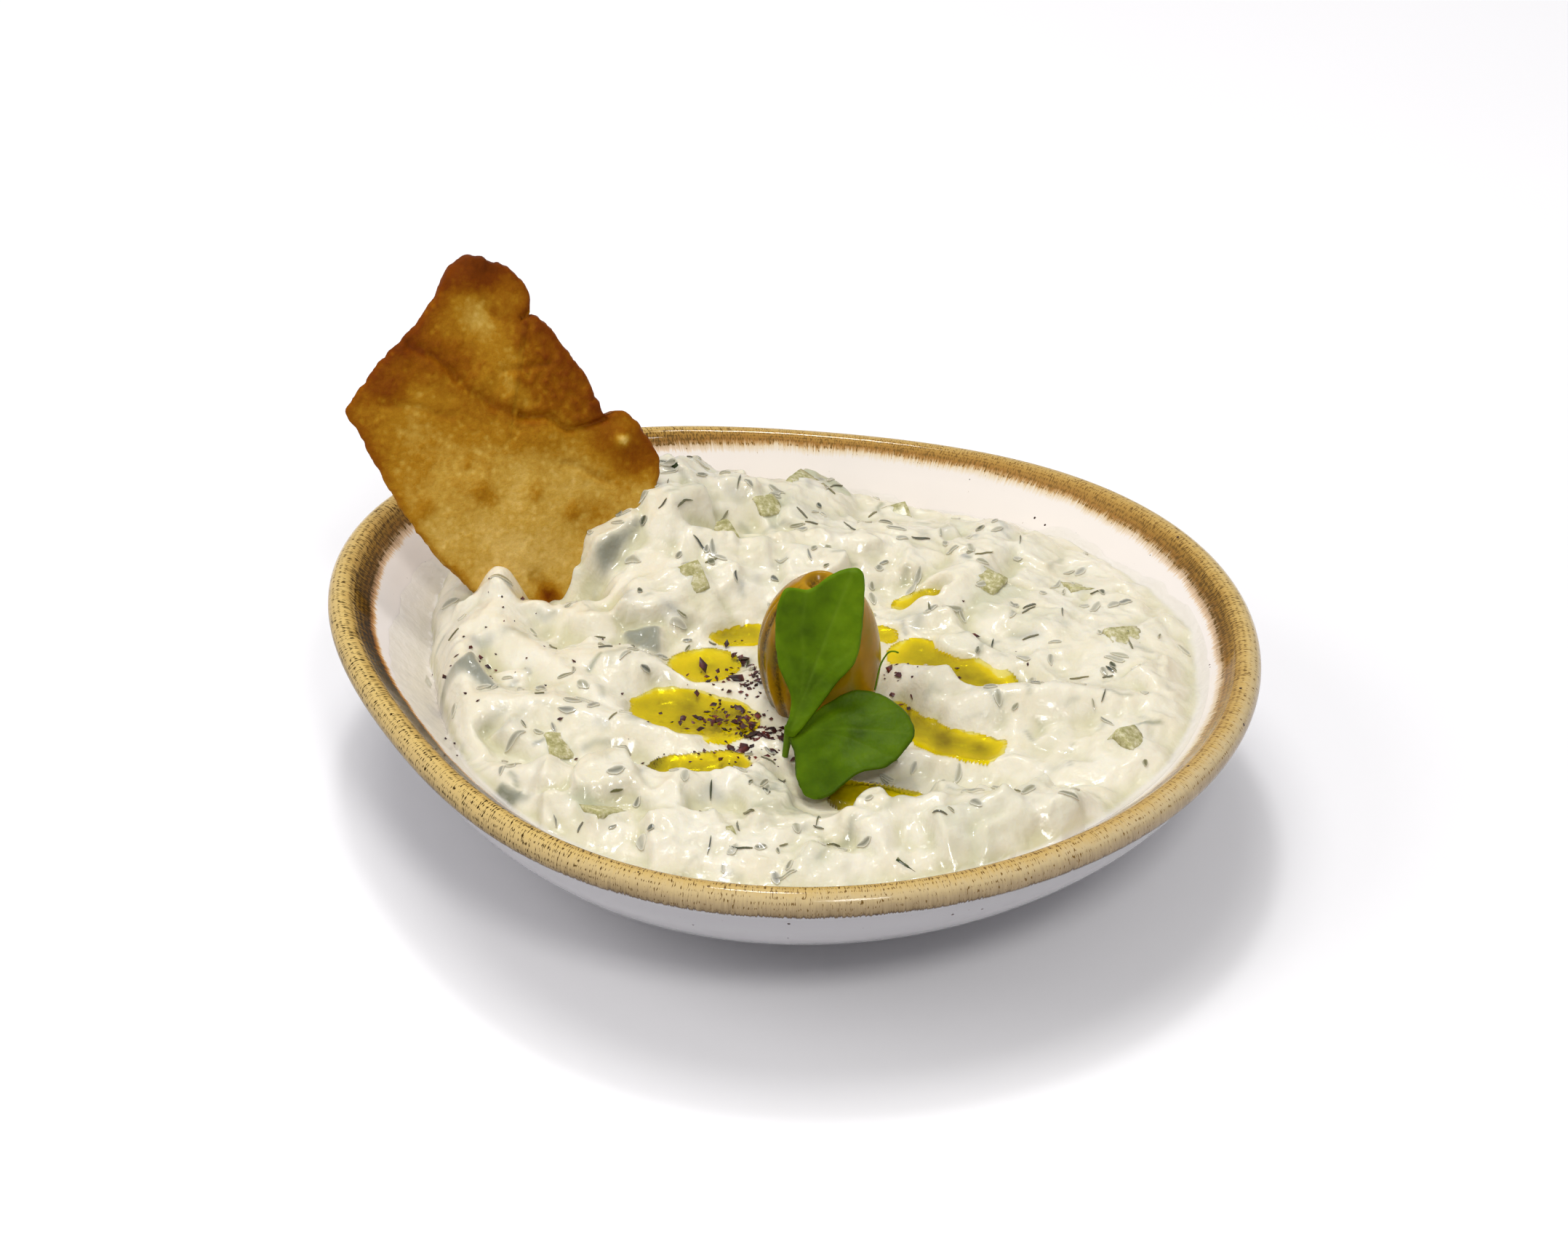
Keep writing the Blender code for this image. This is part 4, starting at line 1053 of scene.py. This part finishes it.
shader.inputs["Roughness"].default_value = 0.5
shader.inputs["Specular IOR Level"].default_value = 0.06
shader.inputs["Subsurface Weight"].default_value = 0.12
shader.inputs["Subsurface Radius"].default_value = (1.0, 0.5, 0.1)
shader.inputs["Subsurface Scale"].default_value = 0.0012

new_piece(
    "fried_pita_chip", chip_points, chip_faces, crust, ("pita_chip",),
    {"toasted": browning_and_shading},
)


# ---------------------------------------------------------------------------------------
# Olive. A whole green olive from brine, rolled in oil, stood on its end with its stem hole up.
# One flank is bruised brown in stripes.

OLIVE_PLACE = (5.6, -17.5, 43.0)
OLIVE_RADIUS = 11.5
OLIVE_HALF_HEIGHT = 17.4
OLIVE_LEAN = math.radians(5)
STEM_HOLE_RADIUS = 2.2
STEM_HOLE_DEPTH = 1.8
OLIVE_SECTORS, OLIVE_ROWS = 120, 96

polar = np.linspace(0.004, math.pi - 0.004, OLIVE_ROWS)
turns = np.linspace(0, 2 * np.pi, OLIVE_SECTORS, endpoint=False)
p, q = np.meshgrid(polar, turns, indexing="ij")
ball = np.stack([np.sin(p) * np.cos(q), np.sin(p) * np.sin(q), np.cos(p)], -1)
body = ball * (OLIVE_RADIUS, OLIVE_RADIUS, OLIVE_HALF_HEIGHT)
body += ball * (0.22 * field(*np.moveaxis(ball, -1, 0), 0.7, 41))[..., None]
to_hole = np.hypot(body[..., 0], body[..., 1]) / STEM_HOLE_RADIUS
body[..., 2] -= np.where(body[..., 2] > 0, STEM_HOLE_DEPTH * np.exp(-(to_hole**4)), 0)
body[..., 2] += np.where(body[..., 2] > 0, 0.35 * np.exp(-(((to_hole - 1.5) / 0.4) ** 2)), 0)
# Stripes lie on the left flank, seen from the front, as shallow furrows.
STRIPES = ((201, 6.5, 1.0), (224, 5.0, 0.95), (186, 3.5, 0.5), (236, 1.5, 0.4))
furrow = np.zeros(p.shape)
for direction, stripe_half, strength in STRIPES:
    side_on = np.degrees(q) - direction + 6 * np.sin(2.2 * p)
    furrow = np.maximum(furrow, strength * np.exp(-((side_on / stripe_half) ** 2)))
furrow *= np.clip(np.sin(p) * 2.2 - 0.5, 0, 1)
body -= ball * (0.35 * furrow)[..., None]
lean = np.array([
    [1, 0, 0],
    [0, math.cos(OLIVE_LEAN), -math.sin(OLIVE_LEAN)],
    [0, math.sin(OLIVE_LEAN), math.cos(OLIVE_LEAN)],
])
olive_points = (body @ lean.T + OLIVE_PLACE).reshape(-1, 3)
hole_dark = np.where(body[..., 2] > 0, np.exp(-((to_hole / 1.0) ** 4)), 0)

# Brined olive skin: waxy and opaque, gone amber green, and wet with oil.
skin_of_olive, t, shader = new_material("brined_olive")
spot = add_node(t, "ShaderNodeNewGeometry", {}, {}).outputs["Position"]
patchy = add_node(t, "ShaderNodeTexNoise", {}, {"Vector": spot, "Scale": 110.0, "Detail": 3.0})
amber = add_node(
    t, "ShaderNodeValToRGB",
    {"ramp": ((0.32, "#7a6a06"), (0.5, "#966c04"), (0.7, "#ae8208"))},
    {"Fac": patchy.outputs["Fac"]},
).outputs["Color"]
bruise = add_node(t, "ShaderNodeAttribute", {"attribute_name": "bruise"}, {}).outputs["Fac"]
speckle = add_node(
    t, "ShaderNodeTexNoise", {}, {"Vector": spot, "Scale": 1500.0, "Detail": 3.0, "Roughness": 0.8}
)
broken = add_node(
    t, "ShaderNodeMapRange", {}, {0: speckle.outputs["Fac"], 1: 0.35, 2: 0.55, 3: 0.35, 4: 1.0}
)
bruised = add_node(
    t, "ShaderNodeMath", {"operation": "MULTIPLY", "use_clamp": True},
    {0: bruise, 1: broken.outputs[0]},
)
coloured = add_node(
    t, "ShaderNodeMix", {"data_type": "RGBA"},
    {"Factor": bruised.outputs[0], 6: amber, 7: "#3b2a08"},
).outputs[2]
t.links.new(coloured, shader.inputs["Base Color"])
shader.inputs["Roughness"].default_value = 0.2
shader.inputs["IOR"].default_value = 1.33
shader.inputs["Specular IOR Level"].default_value = 0.4

new_piece(
    "green_olive", olive_points, grid_faces(OLIVE_ROWS, OLIVE_SECTORS, closed=True),
    skin_of_olive, ("olive",),
    {"bruise": np.clip(furrow + hole_dark, 0, 1).ravel()},
)


# ---------------------------------------------------------------------------------------
# Herb sprig. Two broad soft leaves on one short stalk that is pushed into the dip: the tall one
# lies up the olive, and the low one lies forward over the cream. A thread stands by the olive.

JOINT = (0.1, -35.0, 38.1)
LEAF_THICKNESS = 0.8
STALK = (
    (0.1, -35.0, 38.3, 1.1), (-0.3, -34.8, 36.0, 0.8), (-0.8, -34.2, 32.0, 0.6), (-1.2, -33.8, 28.0, 0.5),
)
TALL_LEAF = {
    "across": (0.928, -0.046, -0.369),
    "along": (0.36, 0.36, 0.86),
    "middle": (-1.0, 17.0),
    "cup": 0.016,
    "outline": (
        (-0.9, -0.9), (1.2, -0.9), (2.7, 3), (4.9, 11), (6.6, 16.5), (4.8, 24.5), (2.3, 31), (0, 31.9),
        (-3.2, 29.5), (-6.2, 25.4), (-10.5, 24), (-10, 18), (-6.6, 10.7), (-2.4, 6), (-1.2, 2.5),
    ),
}
LOW_LEAF = {
    "across": (0.989, -0.058, 0.139),
    "along": (0, 0.923, 0.385),
    "middle": (11.5, -3.5),
    "cup": -0.010,
    "outline": (
        (-0.9, 0.6), (0.9, 1.1), (7.8, 5.6), (13, 7.5), (19.9, 3.8), (22.7, -3), (18, -9.6), (12.5, -11.3),
        (6.8, -15.2), (3, -14.8), (0.9, -10), (0.6, -5), (-0.7, -1.0),
    ),
}
THREAD = (
    (15.7, -27, 41.4), (16.6, -27, 46.5), (17.6, -27, 48.8), (18.3, -27, 49.6), (19.2, -27, 49.7),
    (19.9, -27, 49.4),
)
THREAD_RADIUS = 0.17
LEAF_RINGS = 26


def tube(path, radii, sectors=10):
    """Points and faces of a closed round tube along a path."""
    path = np.asarray(path, float)
    along = np.gradient(path, axis=0)
    along /= np.linalg.norm(along, axis=1, keepdims=True)
    side = np.cross(along, (0.31, 0.17, 0.93))
    side /= np.linalg.norm(side, axis=1, keepdims=True)
    over = np.cross(along, side)
    turn_round = np.linspace(0, 2 * np.pi, sectors, endpoint=False)
    ring = side[:, None] * np.cos(turn_round)[:, None] + over[:, None] * np.sin(turn_round)[:, None]
    rings = path[:, None] + ring * np.asarray(radii, float)[:, None, None]
    ends = np.vstack([path[:1], path[-1:]])
    total = rings.shape[0] * sectors
    faces = grid_faces(len(path), sectors, closed=True).tolist()
    for i in range(sectors):
        j = (i + 1) % sectors
        faces.append([j, i, total])
        faces.append([total - sectors + i, total - sectors + j, total + 1])
    return np.vstack([rings.reshape(-1, 3), ends]), faces


leaf_points, leaf_faces, leaf_vein, leaf_deep = [], [], [], []


def add_to_sprig(points, faces, vein, deep):
    start = sum(map(len, leaf_points))
    leaf_points.append(points)
    leaf_faces.extend([[corner + start for corner in face] for face in faces])
    leaf_vein.append(vein)
    leaf_deep.append(deep)


for number, leaf in enumerate((TALL_LEAF, LOW_LEAF)):
    across_way = np.array(leaf["across"]) / np.linalg.norm(leaf["across"])
    up_way = np.array(leaf["along"]) - across_way * np.dot(leaf["along"], across_way)
    up_way /= np.linalg.norm(up_way)
    out_way = np.cross(across_way, up_way)
    middle = np.array(leaf["middle"], float)
    outline = smooth_line(leaf["outline"], 0.45, closed=True)
    outline = outline + 0.12 * field(*outline.T, 0, 1.6, 50 + number, 2)[:, None] * (
        (outline - middle) / np.linalg.norm(outline - middle, axis=1, keepdims=True)
    )
    leaf_u, leaf_v, leaf_side, _, faces = slab_grid(outline, middle, LEAF_RINGS, 1.0)
    nearest = np.array([
        np.hypot(outline[:, 0] - pu, outline[:, 1] - pv).min() for pu, pv in zip(leaf_u, leaf_v)
    ])
    edge_round = np.sqrt(1 - (1 - np.clip(nearest / 0.6, 0, 1)) ** 2)
    tip = max(leaf["outline"], key=lambda corner: math.hypot(*corner))
    fan = np.arctan2(leaf_v, leaf_u)
    reach_out = np.hypot(leaf_u, leaf_v)
    tip_way = math.atan2(tip[1], tip[0])
    # A midrib and forked side veins fan out from the stalk.
    vein = np.zeros(len(leaf_u))
    for off, most in ((0, 1.0), (0.26, 0.55), (-0.28, 0.55), (0.55, 0.35), (-0.6, 0.35)):
        line = (fan - tip_way - off * np.clip(reach_out / 18, 0.25, 1)) * reach_out
        vein = np.maximum(vein, most * np.exp(-((line / 0.35) ** 2)))
    ripples = 0.28 * field(leaf_u, leaf_v, 0, 5.0, 60 + number, 2)
    bend = leaf["cup"] * ((leaf_u - middle[0]) ** 2 + 0.2 * (leaf_v - middle[1]) ** 2)
    out = bend + ripples - 0.10 * vein + leaf_side * edge_round * LEAF_THICKNESS / 2
    place = (
        np.array(JOINT) + leaf_u[:, None] * across_way + leaf_v[:, None] * up_way
        + out[:, None] * out_way
    )
    add_to_sprig(place, faces, vein, np.full(len(vein), float(number)))

stalk_line = smooth_line(STALK, 0.5)
stalk_points, stalk_faces = tube(stalk_line[:, :3], stalk_line[:, 3])
add_to_sprig(stalk_points, stalk_faces, np.full(len(stalk_points), 0.8), np.zeros(len(stalk_points)))
thread_line = smooth_line(THREAD, 0.3)
thread_points, thread_faces = tube(thread_line, np.full(len(thread_line), THREAD_RADIUS), 8)
add_to_sprig(thread_points, thread_faces, np.full(len(thread_points), 0.6), np.zeros(len(thread_points)))

# Fresh leaf: a thin waxy skin over soft green flesh, lit through from behind, with paler veins.
leaf_green, t, shader = new_material("fresh_leaf")
spot = add_node(t, "ShaderNodeNewGeometry", {}, {}).outputs["Position"]
tone = add_node(t, "ShaderNodeTexNoise", {}, {"Vector": spot, "Scale": 160.0, "Detail": 4.0})
greens = add_node(
    t, "ShaderNodeValToRGB",
    {"ramp": ((0.3, "#425c02"), (0.5, "#557303"), (0.72, "#66840a"))},
    {"Fac": tone.outputs["Fac"]},
).outputs["Color"]
vein_line = add_node(t, "ShaderNodeAttribute", {"attribute_name": "vein"}, {}).outputs["Fac"]
faint = add_node(
    t, "ShaderNodeMath", {"operation": "MULTIPLY", "use_clamp": True}, {0: vein_line, 1: 0.11}
)
veined = add_node(
    t, "ShaderNodeMix", {"data_type": "RGBA"},
    {"Factor": faint.outputs[0], 6: greens, 7: "#8aa53a"},
).outputs[2]
# The low leaf is darkened to a deeper green.
deep = add_node(t, "ShaderNodeAttribute", {"attribute_name": "deep"}, {}).outputs["Fac"]
deepened = add_node(
    t, "ShaderNodeMix", {"data_type": "RGBA", "blend_type": "MULTIPLY"},
    {"Factor": deep, 6: veined, 7: "#d0d2a0"},
).outputs[2]
cells_of_leaf = add_node(t, "ShaderNodeTexVoronoi", {}, {"Vector": spot, "Scale": 1400.0})
pebble = add_node(
    t, "ShaderNodeBump", {},
    {"Strength": 0.2, "Distance": 0.0002, "Height": cells_of_leaf.outputs["Distance"]},
)
t.links.new(deepened, shader.inputs["Base Color"])
t.links.new(pebble.outputs[0], shader.inputs["Normal"])
shader.inputs["Roughness"].default_value = 0.42
shader.inputs["IOR"].default_value = 1.3
shader.inputs["Specular IOR Level"].default_value = 0.2
shader.inputs["Subsurface Weight"].default_value = 0.15
shader.inputs["Subsurface Radius"].default_value = (0.4, 1.0, 0.1)
shader.inputs["Subsurface Scale"].default_value = 0.001

new_piece(
    "two_leaved_sprig", np.vstack(leaf_points), leaf_faces, leaf_green, ("herb_sprig",),
    {"vein": np.concatenate(leaf_vein), "deep": np.concatenate(leaf_deep)},
)


# ---------------------------------------------------------------------------------------
# Dill. Fronds and soft stalks chopped fine and stirred in. Needles and slivers up to 6 mm long
# lie in the skin of the cream, dark where they are bare and paler under a veil of it.

# How many, length, half width, how high it stands, and the veil along its middle and its edge.
DILL_CUTS = (
    (90, (1.8, 5.0), (0.12, 0.20), 0.12, 0.0, 0.15),
    (60, (1.4, 3.6), (0.22, 0.50), 0.10, 0.05, 0.80),
    (40, (0.9, 2.2), (0.45, 0.95), 0.10, 0.0, 0.60),
    (230, (1.6, 5.0), (0.30, 0.90), 0.04, 0.35, 1.00),
)
DILL_STATIONS = 9
DILL_LANES = np.array((-1.0, -0.6, 0.0, 0.6, 1.0))
DILL_ROOT = 0.3
cream_skin = BVHTree.FromPolygons(top_points.tolist(), grid_faces(count, count).tolist())


def onto_cream(at_x, at_y):
    """The point of the cream over a plan point and its normal there, or None beyond its edge."""
    return cream_skin.ray_cast(Vector((at_x, at_y, 90)), Vector((0, 0, -1)))[:2]


def plate_faces(rows, columns):
    """Faces of a closed plate: a grid on top, the same grid below, and its four sides."""
    top = grid_faces(rows, columns)
    below = rows * columns
    border = list(range(columns)) + [(row + 1) * columns - 1 for row in range(1, rows)]
    border += [below - 1 - column for column in range(1, columns)]
    border += [row * columns for row in range(rows - 2, 0, -1)]
    ring = np.array(border)
    sides = np.stack([np.roll(ring, -1), ring, ring + below, np.roll(ring, -1) + below], -1)
    return np.vstack([top, top[:, ::-1] + below, sides])


sliver_faces = plate_faces(DILL_STATIONS, len(DILL_LANES))
along = np.linspace(0, 1, DILL_STATIONS)
frond_points, frond_veil, frond_tone = [], [], []
for how_many, lengths_of_cut, halves, stand, veil_middle, veil_edge in DILL_CUTS:
    for _ in range(how_many):
        spin, far = draw.uniform(0, 2 * math.pi), math.sqrt(draw.uniform(0, 1))
        spread_out = (RIM_RADIUS - EDGE_INSET - 3) * float(egg(spin)) * far
        start = np.array((spread_out * math.cos(spin), spread_out * math.sin(spin)))
        long, half = draw.uniform(*lengths_of_cut), draw.uniform(*halves)
        way = draw.uniform(0, 2 * math.pi) + draw.normal(0, 0.5) * along
        taper, tone_here = draw.uniform(0, 0.7), draw.uniform(0, 1)
        paler = draw.uniform(-0.15, 0.25)
        if math.hypot(start[0] - 5.6, start[1] + 17.5) < 14:
            continue
        heading = np.stack([np.cos(way), np.sin(way)], -1)
        line = start + np.cumsum(heading, axis=0) * long / DILL_STATIONS
        breadth = half * (0.12 + np.sin(np.pi * along) ** 0.6) * (1 - taper * along)
        aside = np.stack([-heading[:, 1], heading[:, 0]], -1)
        flat = line[:, None] + aside[:, None] * (DILL_LANES[None, :] * breadth[:, None])[..., None]
        found = [onto_cream(*spot) for spot in flat.reshape(-1, 2)]
        if any(hit is None for hit, _ in found):
            continue
        if np.ptp([hit[2] for hit, _ in found]) > 0.8 * long:
            continue
        cell = int(np.argmin((x - line[4, 0]) ** 2 + (y - line[4, 1]) ** 2))
        if near_pool.flat[cell] or smear.flat[cell] > draw.uniform(0.3, 1.0):
            continue
        hits = np.array([hit for hit, _ in found])
        normals = np.array([normal for _, normal in found])
        outer = np.maximum(np.abs(DILL_LANES)[None, :], np.abs(2 * along - 1)[:, None] ** 4).ravel()
        top = hits + normals * (stand * (0.7 - outer**2))[:, None]
        frond_points += [top, hits - normals * DILL_ROOT]
        veil = veil_middle + paler + (veil_edge - veil_middle - paler) * outer**2
        frond_veil += [veil, veil]
        frond_tone.append(np.full(2 * len(veil), tone_here))
frond_count = len(frond_tone)
frond_faces = np.vstack([
    sliver_faces + number * 2 * DILL_STATIONS * len(DILL_LANES) for number in range(frond_count)
])

# Chopped dill: thin, dark and limp, slate to olive where light comes through it. The veil is the
# yoghurt over it, as pale and glossy as the rest.
dill, t, shader = new_material("chopped_dill")
tone = add_node(t, "ShaderNodeAttribute", {"attribute_name": "tone"}, {}).outputs["Fac"]
veil = add_node(t, "ShaderNodeAttribute", {"attribute_name": "veil"}, {}).outputs["Fac"]
spot = add_node(t, "ShaderNodeNewGeometry", {}, {}).outputs["Position"]
shade = add_node(t, "ShaderNodeTexNoise", {}, {"Vector": spot, "Scale": 700.0, "Detail": 2.0})
mixed_tone = add_node(
    t, "ShaderNodeMath", {"operation": "MULTIPLY_ADD"}, {0: shade.outputs["Fac"], 1: 0.5, 2: tone}
).outputs[0]
frond_green = add_node(
    t, "ShaderNodeValToRGB",
    {"ramp": ((0.1, "#39444a"), (0.45, "#2b331c"), (0.8, "#3d4019"), (1.0, "#5c5a2c"))},
    {"Fac": mixed_tone},
).outputs["Color"]
veiled = add_node(
    t, "ShaderNodeMix", {"data_type": "RGBA"}, {"Factor": veil, 6: frond_green, 7: "#d3cdba"}
).outputs[2]
t.links.new(veiled, shader.inputs["Base Color"])
shader.inputs["Roughness"].default_value = 0.3
shader.inputs["IOR"].default_value = 1.4
shader.inputs["Subsurface Weight"].default_value = 0.3
shader.inputs["Subsurface Radius"].default_value = (1.0, 0.75, 0.45)
shader.inputs["Subsurface Scale"].default_value = 0.0015
shader.inputs["Coat Weight"].default_value = 0.5
shader.inputs["Coat Roughness"].default_value = 0.08
new_piece(
    "dill_fronds", np.vstack(frond_points), frond_faces, dill,
    attributes={
        "veil": np.clip(np.concatenate(frond_veil), 0, 1), "tone": np.concatenate(frond_tone),
    },
    fold=FOLD / 2,
)


# ---------------------------------------------------------------------------------------
# Sumac. Dried berries ground coarse and sprinkled from above: dark red crumbs up to a
# millimetre across, thick to the left of the olive and few elsewhere.

# Where it fell: middle (x, y), spread (x, y), how many crumbs, and their mean size.
SUMAC_FALLS = (
    (-9, -22, 7, 5, 80, 0.72), (-7, -10, 4, 7, 85, 0.74), (-15, -22.5, 3.0, 1.4, 14, 0.75),
    (-4, -28, 5, 3, 55, 0.72), (-6, -11, 2.5, 1.6, 22, 0.78), (-2, -29, 2, 1.6, 18, 0.8),
    (-16, -33, 9, 5, 26, 0.5), (19, -13, 3.0, 4, 18, 0.8),
    (-58, 2, 5, 14, 24, 0.62), (-44, -10, 12, 12, 22, 0.55), (30, 2, 10, 12, 6, 0.55),
)
CRUMB_CORNERS = np.array([
    (1, 0, 0), (-1, 0, 0), (0, 1, 0), (0, -1, 0), (0, 0, 1), (0, 0, -1),
], float)
CRUMB_FACES = ((0, 2, 4), (2, 1, 4), (1, 3, 4), (3, 0, 4), (2, 0, 5), (1, 2, 5), (3, 1, 5), (0, 3, 5))
crumb_points, crumb_faces = [], []
for fall_x, fall_y, spread_x, spread_y, how_many, mean_size in SUMAC_FALLS:
    for _ in range(how_many):
        at = (draw.normal(fall_x, spread_x), draw.normal(fall_y, spread_y))
        crumb = mean_size * draw.lognormal(0, 0.45)
        shape = CRUMB_CORNERS * draw.uniform(0.5, 1.2, (6, 1)) * (crumb, crumb * 0.65, crumb * 0.35)
        shape = shape @ turn_matrix(draw.uniform(0, 360), draw.normal(0, 18), draw.normal(0, 18)).T
        hit, _ = onto_cream(*at)
        if hit is None or math.hypot(at[0] - OLIVE_PLACE[0], at[1] - OLIVE_PLACE[1]) < OLIVE_RADIUS - 1.5:
            continue
        cell = int(np.argmin((x - at[0]) ** 2 + (y - at[1]) ** 2))
        level = max(hit.z, OIL_LEVEL + 0.1 if near_pool.flat[cell] else 0)
        crumb_faces += [[c + 6 * len(crumb_points) for c in face] for face in CRUMB_FACES]
        crumb_points.append(shape + (*at, level + 0.06))

# Ground sumac: dry husk, wine red to nearly black, matt with a little oil on it.
sumac, t, shader = new_material("ground_sumac")
spot = add_node(t, "ShaderNodeNewGeometry", {}, {}).outputs["Position"]
husk = add_node(t, "ShaderNodeTexNoise", {}, {"Vector": spot, "Scale": 500.0, "Detail": 2.0})
wine = add_node(
    t, "ShaderNodeValToRGB",
    {"ramp": ((0.35, "#220c0d"), (0.55, "#45191a"), (0.75, "#7c3223"))},
    {"Fac": husk.outputs["Fac"]},
).outputs["Color"]
t.links.new(wine, shader.inputs["Base Color"])
shader.inputs["Roughness"].default_value = 0.4
new_piece("sumac_crumbs", np.vstack(crumb_points), crumb_faces, sumac)


# ---------------------------------------------------------------------------------------
# Studio. A sheet of white matt paper under an even white sky, with a wide lamp overhead, back
# and to the left, so that shadows fall forward and right, and a weaker one low on the left that
# fills them. Two small lamps, one in front and one behind, put the sparks on wet cream, glaze
# and oil; the two wide ones aren't mirrored in them.

floor_mesh = bpy.data.meshes.new("floor")
FLOOR_HALF = 6.0
corners = [(-FLOOR_HALF, -FLOOR_HALF, 0), (FLOOR_HALF, -FLOOR_HALF, 0), (FLOOR_HALF, FLOOR_HALF, 0)]
corners.append((-FLOOR_HALF, FLOOR_HALF, 0))
floor_mesh.from_pydata(corners, [], [(0, 1, 2, 3)])
floor = bpy.data.objects.new("studio_floor", floor_mesh)
bpy.context.scene.collection.objects.link(floor)
paper, t, shader = new_material("white_paper")
spot = add_node(t, "ShaderNodeNewGeometry", {}, {}).outputs["Position"]
fibre = add_node(t, "ShaderNodeTexNoise", {}, {"Vector": spot, "Scale": 4.0})
white = add_node(
    t, "ShaderNodeValToRGB", {"ramp": ((0.3, "#eeedf0"), (0.7, "#f1f0f2"))},
    {"Fac": fibre.outputs["Fac"]},
).outputs["Color"]
t.links.new(white, shader.inputs["Base Color"])
shader.inputs["Roughness"].default_value = 0.9
floor_mesh.materials.append(paper)

world = bpy.data.worlds.new("studio")
bpy.context.scene.world = world
world.use_nodes = True
t = world.node_tree
up = add_node(t, "ShaderNodeTexCoord", {}, {}).outputs["Generated"]
rise = add_node(t, "ShaderNodeSeparateXYZ", {}, {0: up}).outputs[2]
dome = add_node(
    t, "ShaderNodeValToRGB", {"ramp": ((0.0, "#c8c8cb"), (0.35, "#f2f2f4"), (0.8, "#ffffff"))},
    {"Fac": rise},
)
t.links.new(dome.outputs["Color"], t.nodes["Background"].inputs["Color"])
t.nodes["Background"].inputs["Strength"].default_value = 0.46


def add_lamp(name, place, size, power, colour, mirrored=True):
    """A round lamp that faces the middle of the bowl; mirrored says if gloss shows it."""
    light = bpy.data.lights.new(name, "AREA")
    light.shape = "DISK"
    light.size = size
    light.energy = power
    light.color = colour
    lamp = bpy.data.objects.new(name, light)
    lamp.location = place
    aim = Vector((0, 0, 0.03)) - lamp.location
    lamp.rotation_euler = aim.to_track_quat("-Z", "Y").to_euler()
    lamp.visible_glossy = mirrored
    bpy.context.scene.collection.objects.link(lamp)


add_lamp("overhead_lamp", (-0.20, 0.24, 1.60), 0.9, 10.5, (1.0, 0.99, 0.97), mirrored=False)
add_lamp("side_lamp", (-1.10, -0.30, 0.95), 0.9, 5.0, (1.0, 0.99, 0.98), mirrored=False)
add_lamp("front_lamp", (0.24, -0.98, 1.10), 0.3, 6.0, (1.0, 0.99, 0.96))
add_lamp("small_lamp", (-0.10, 0.45, 1.50), 0.2, 4.0, (1.0, 1.0, 1.0))

camera_data = bpy.data.cameras.new("camera")
camera_data.lens = 92
camera_data.sensor_width = 36
camera = bpy.data.objects.new("camera", camera_data)
bpy.context.scene.collection.objects.link(camera)
LOOK_AT = Vector((-0.0009, 0.0068, 0.036))
CAMERA_DISTANCE = 0.767
CAMERA_RISE = math.radians(31.3)
camera.location = LOOK_AT + CAMERA_DISTANCE * Vector(
    (0, -math.cos(CAMERA_RISE), math.sin(CAMERA_RISE))
)
camera.rotation_euler = (math.pi / 2 - CAMERA_RISE, 0, 0)
bpy.context.scene.camera = camera
bpy.context.scene.view_settings.view_transform = "Standard"
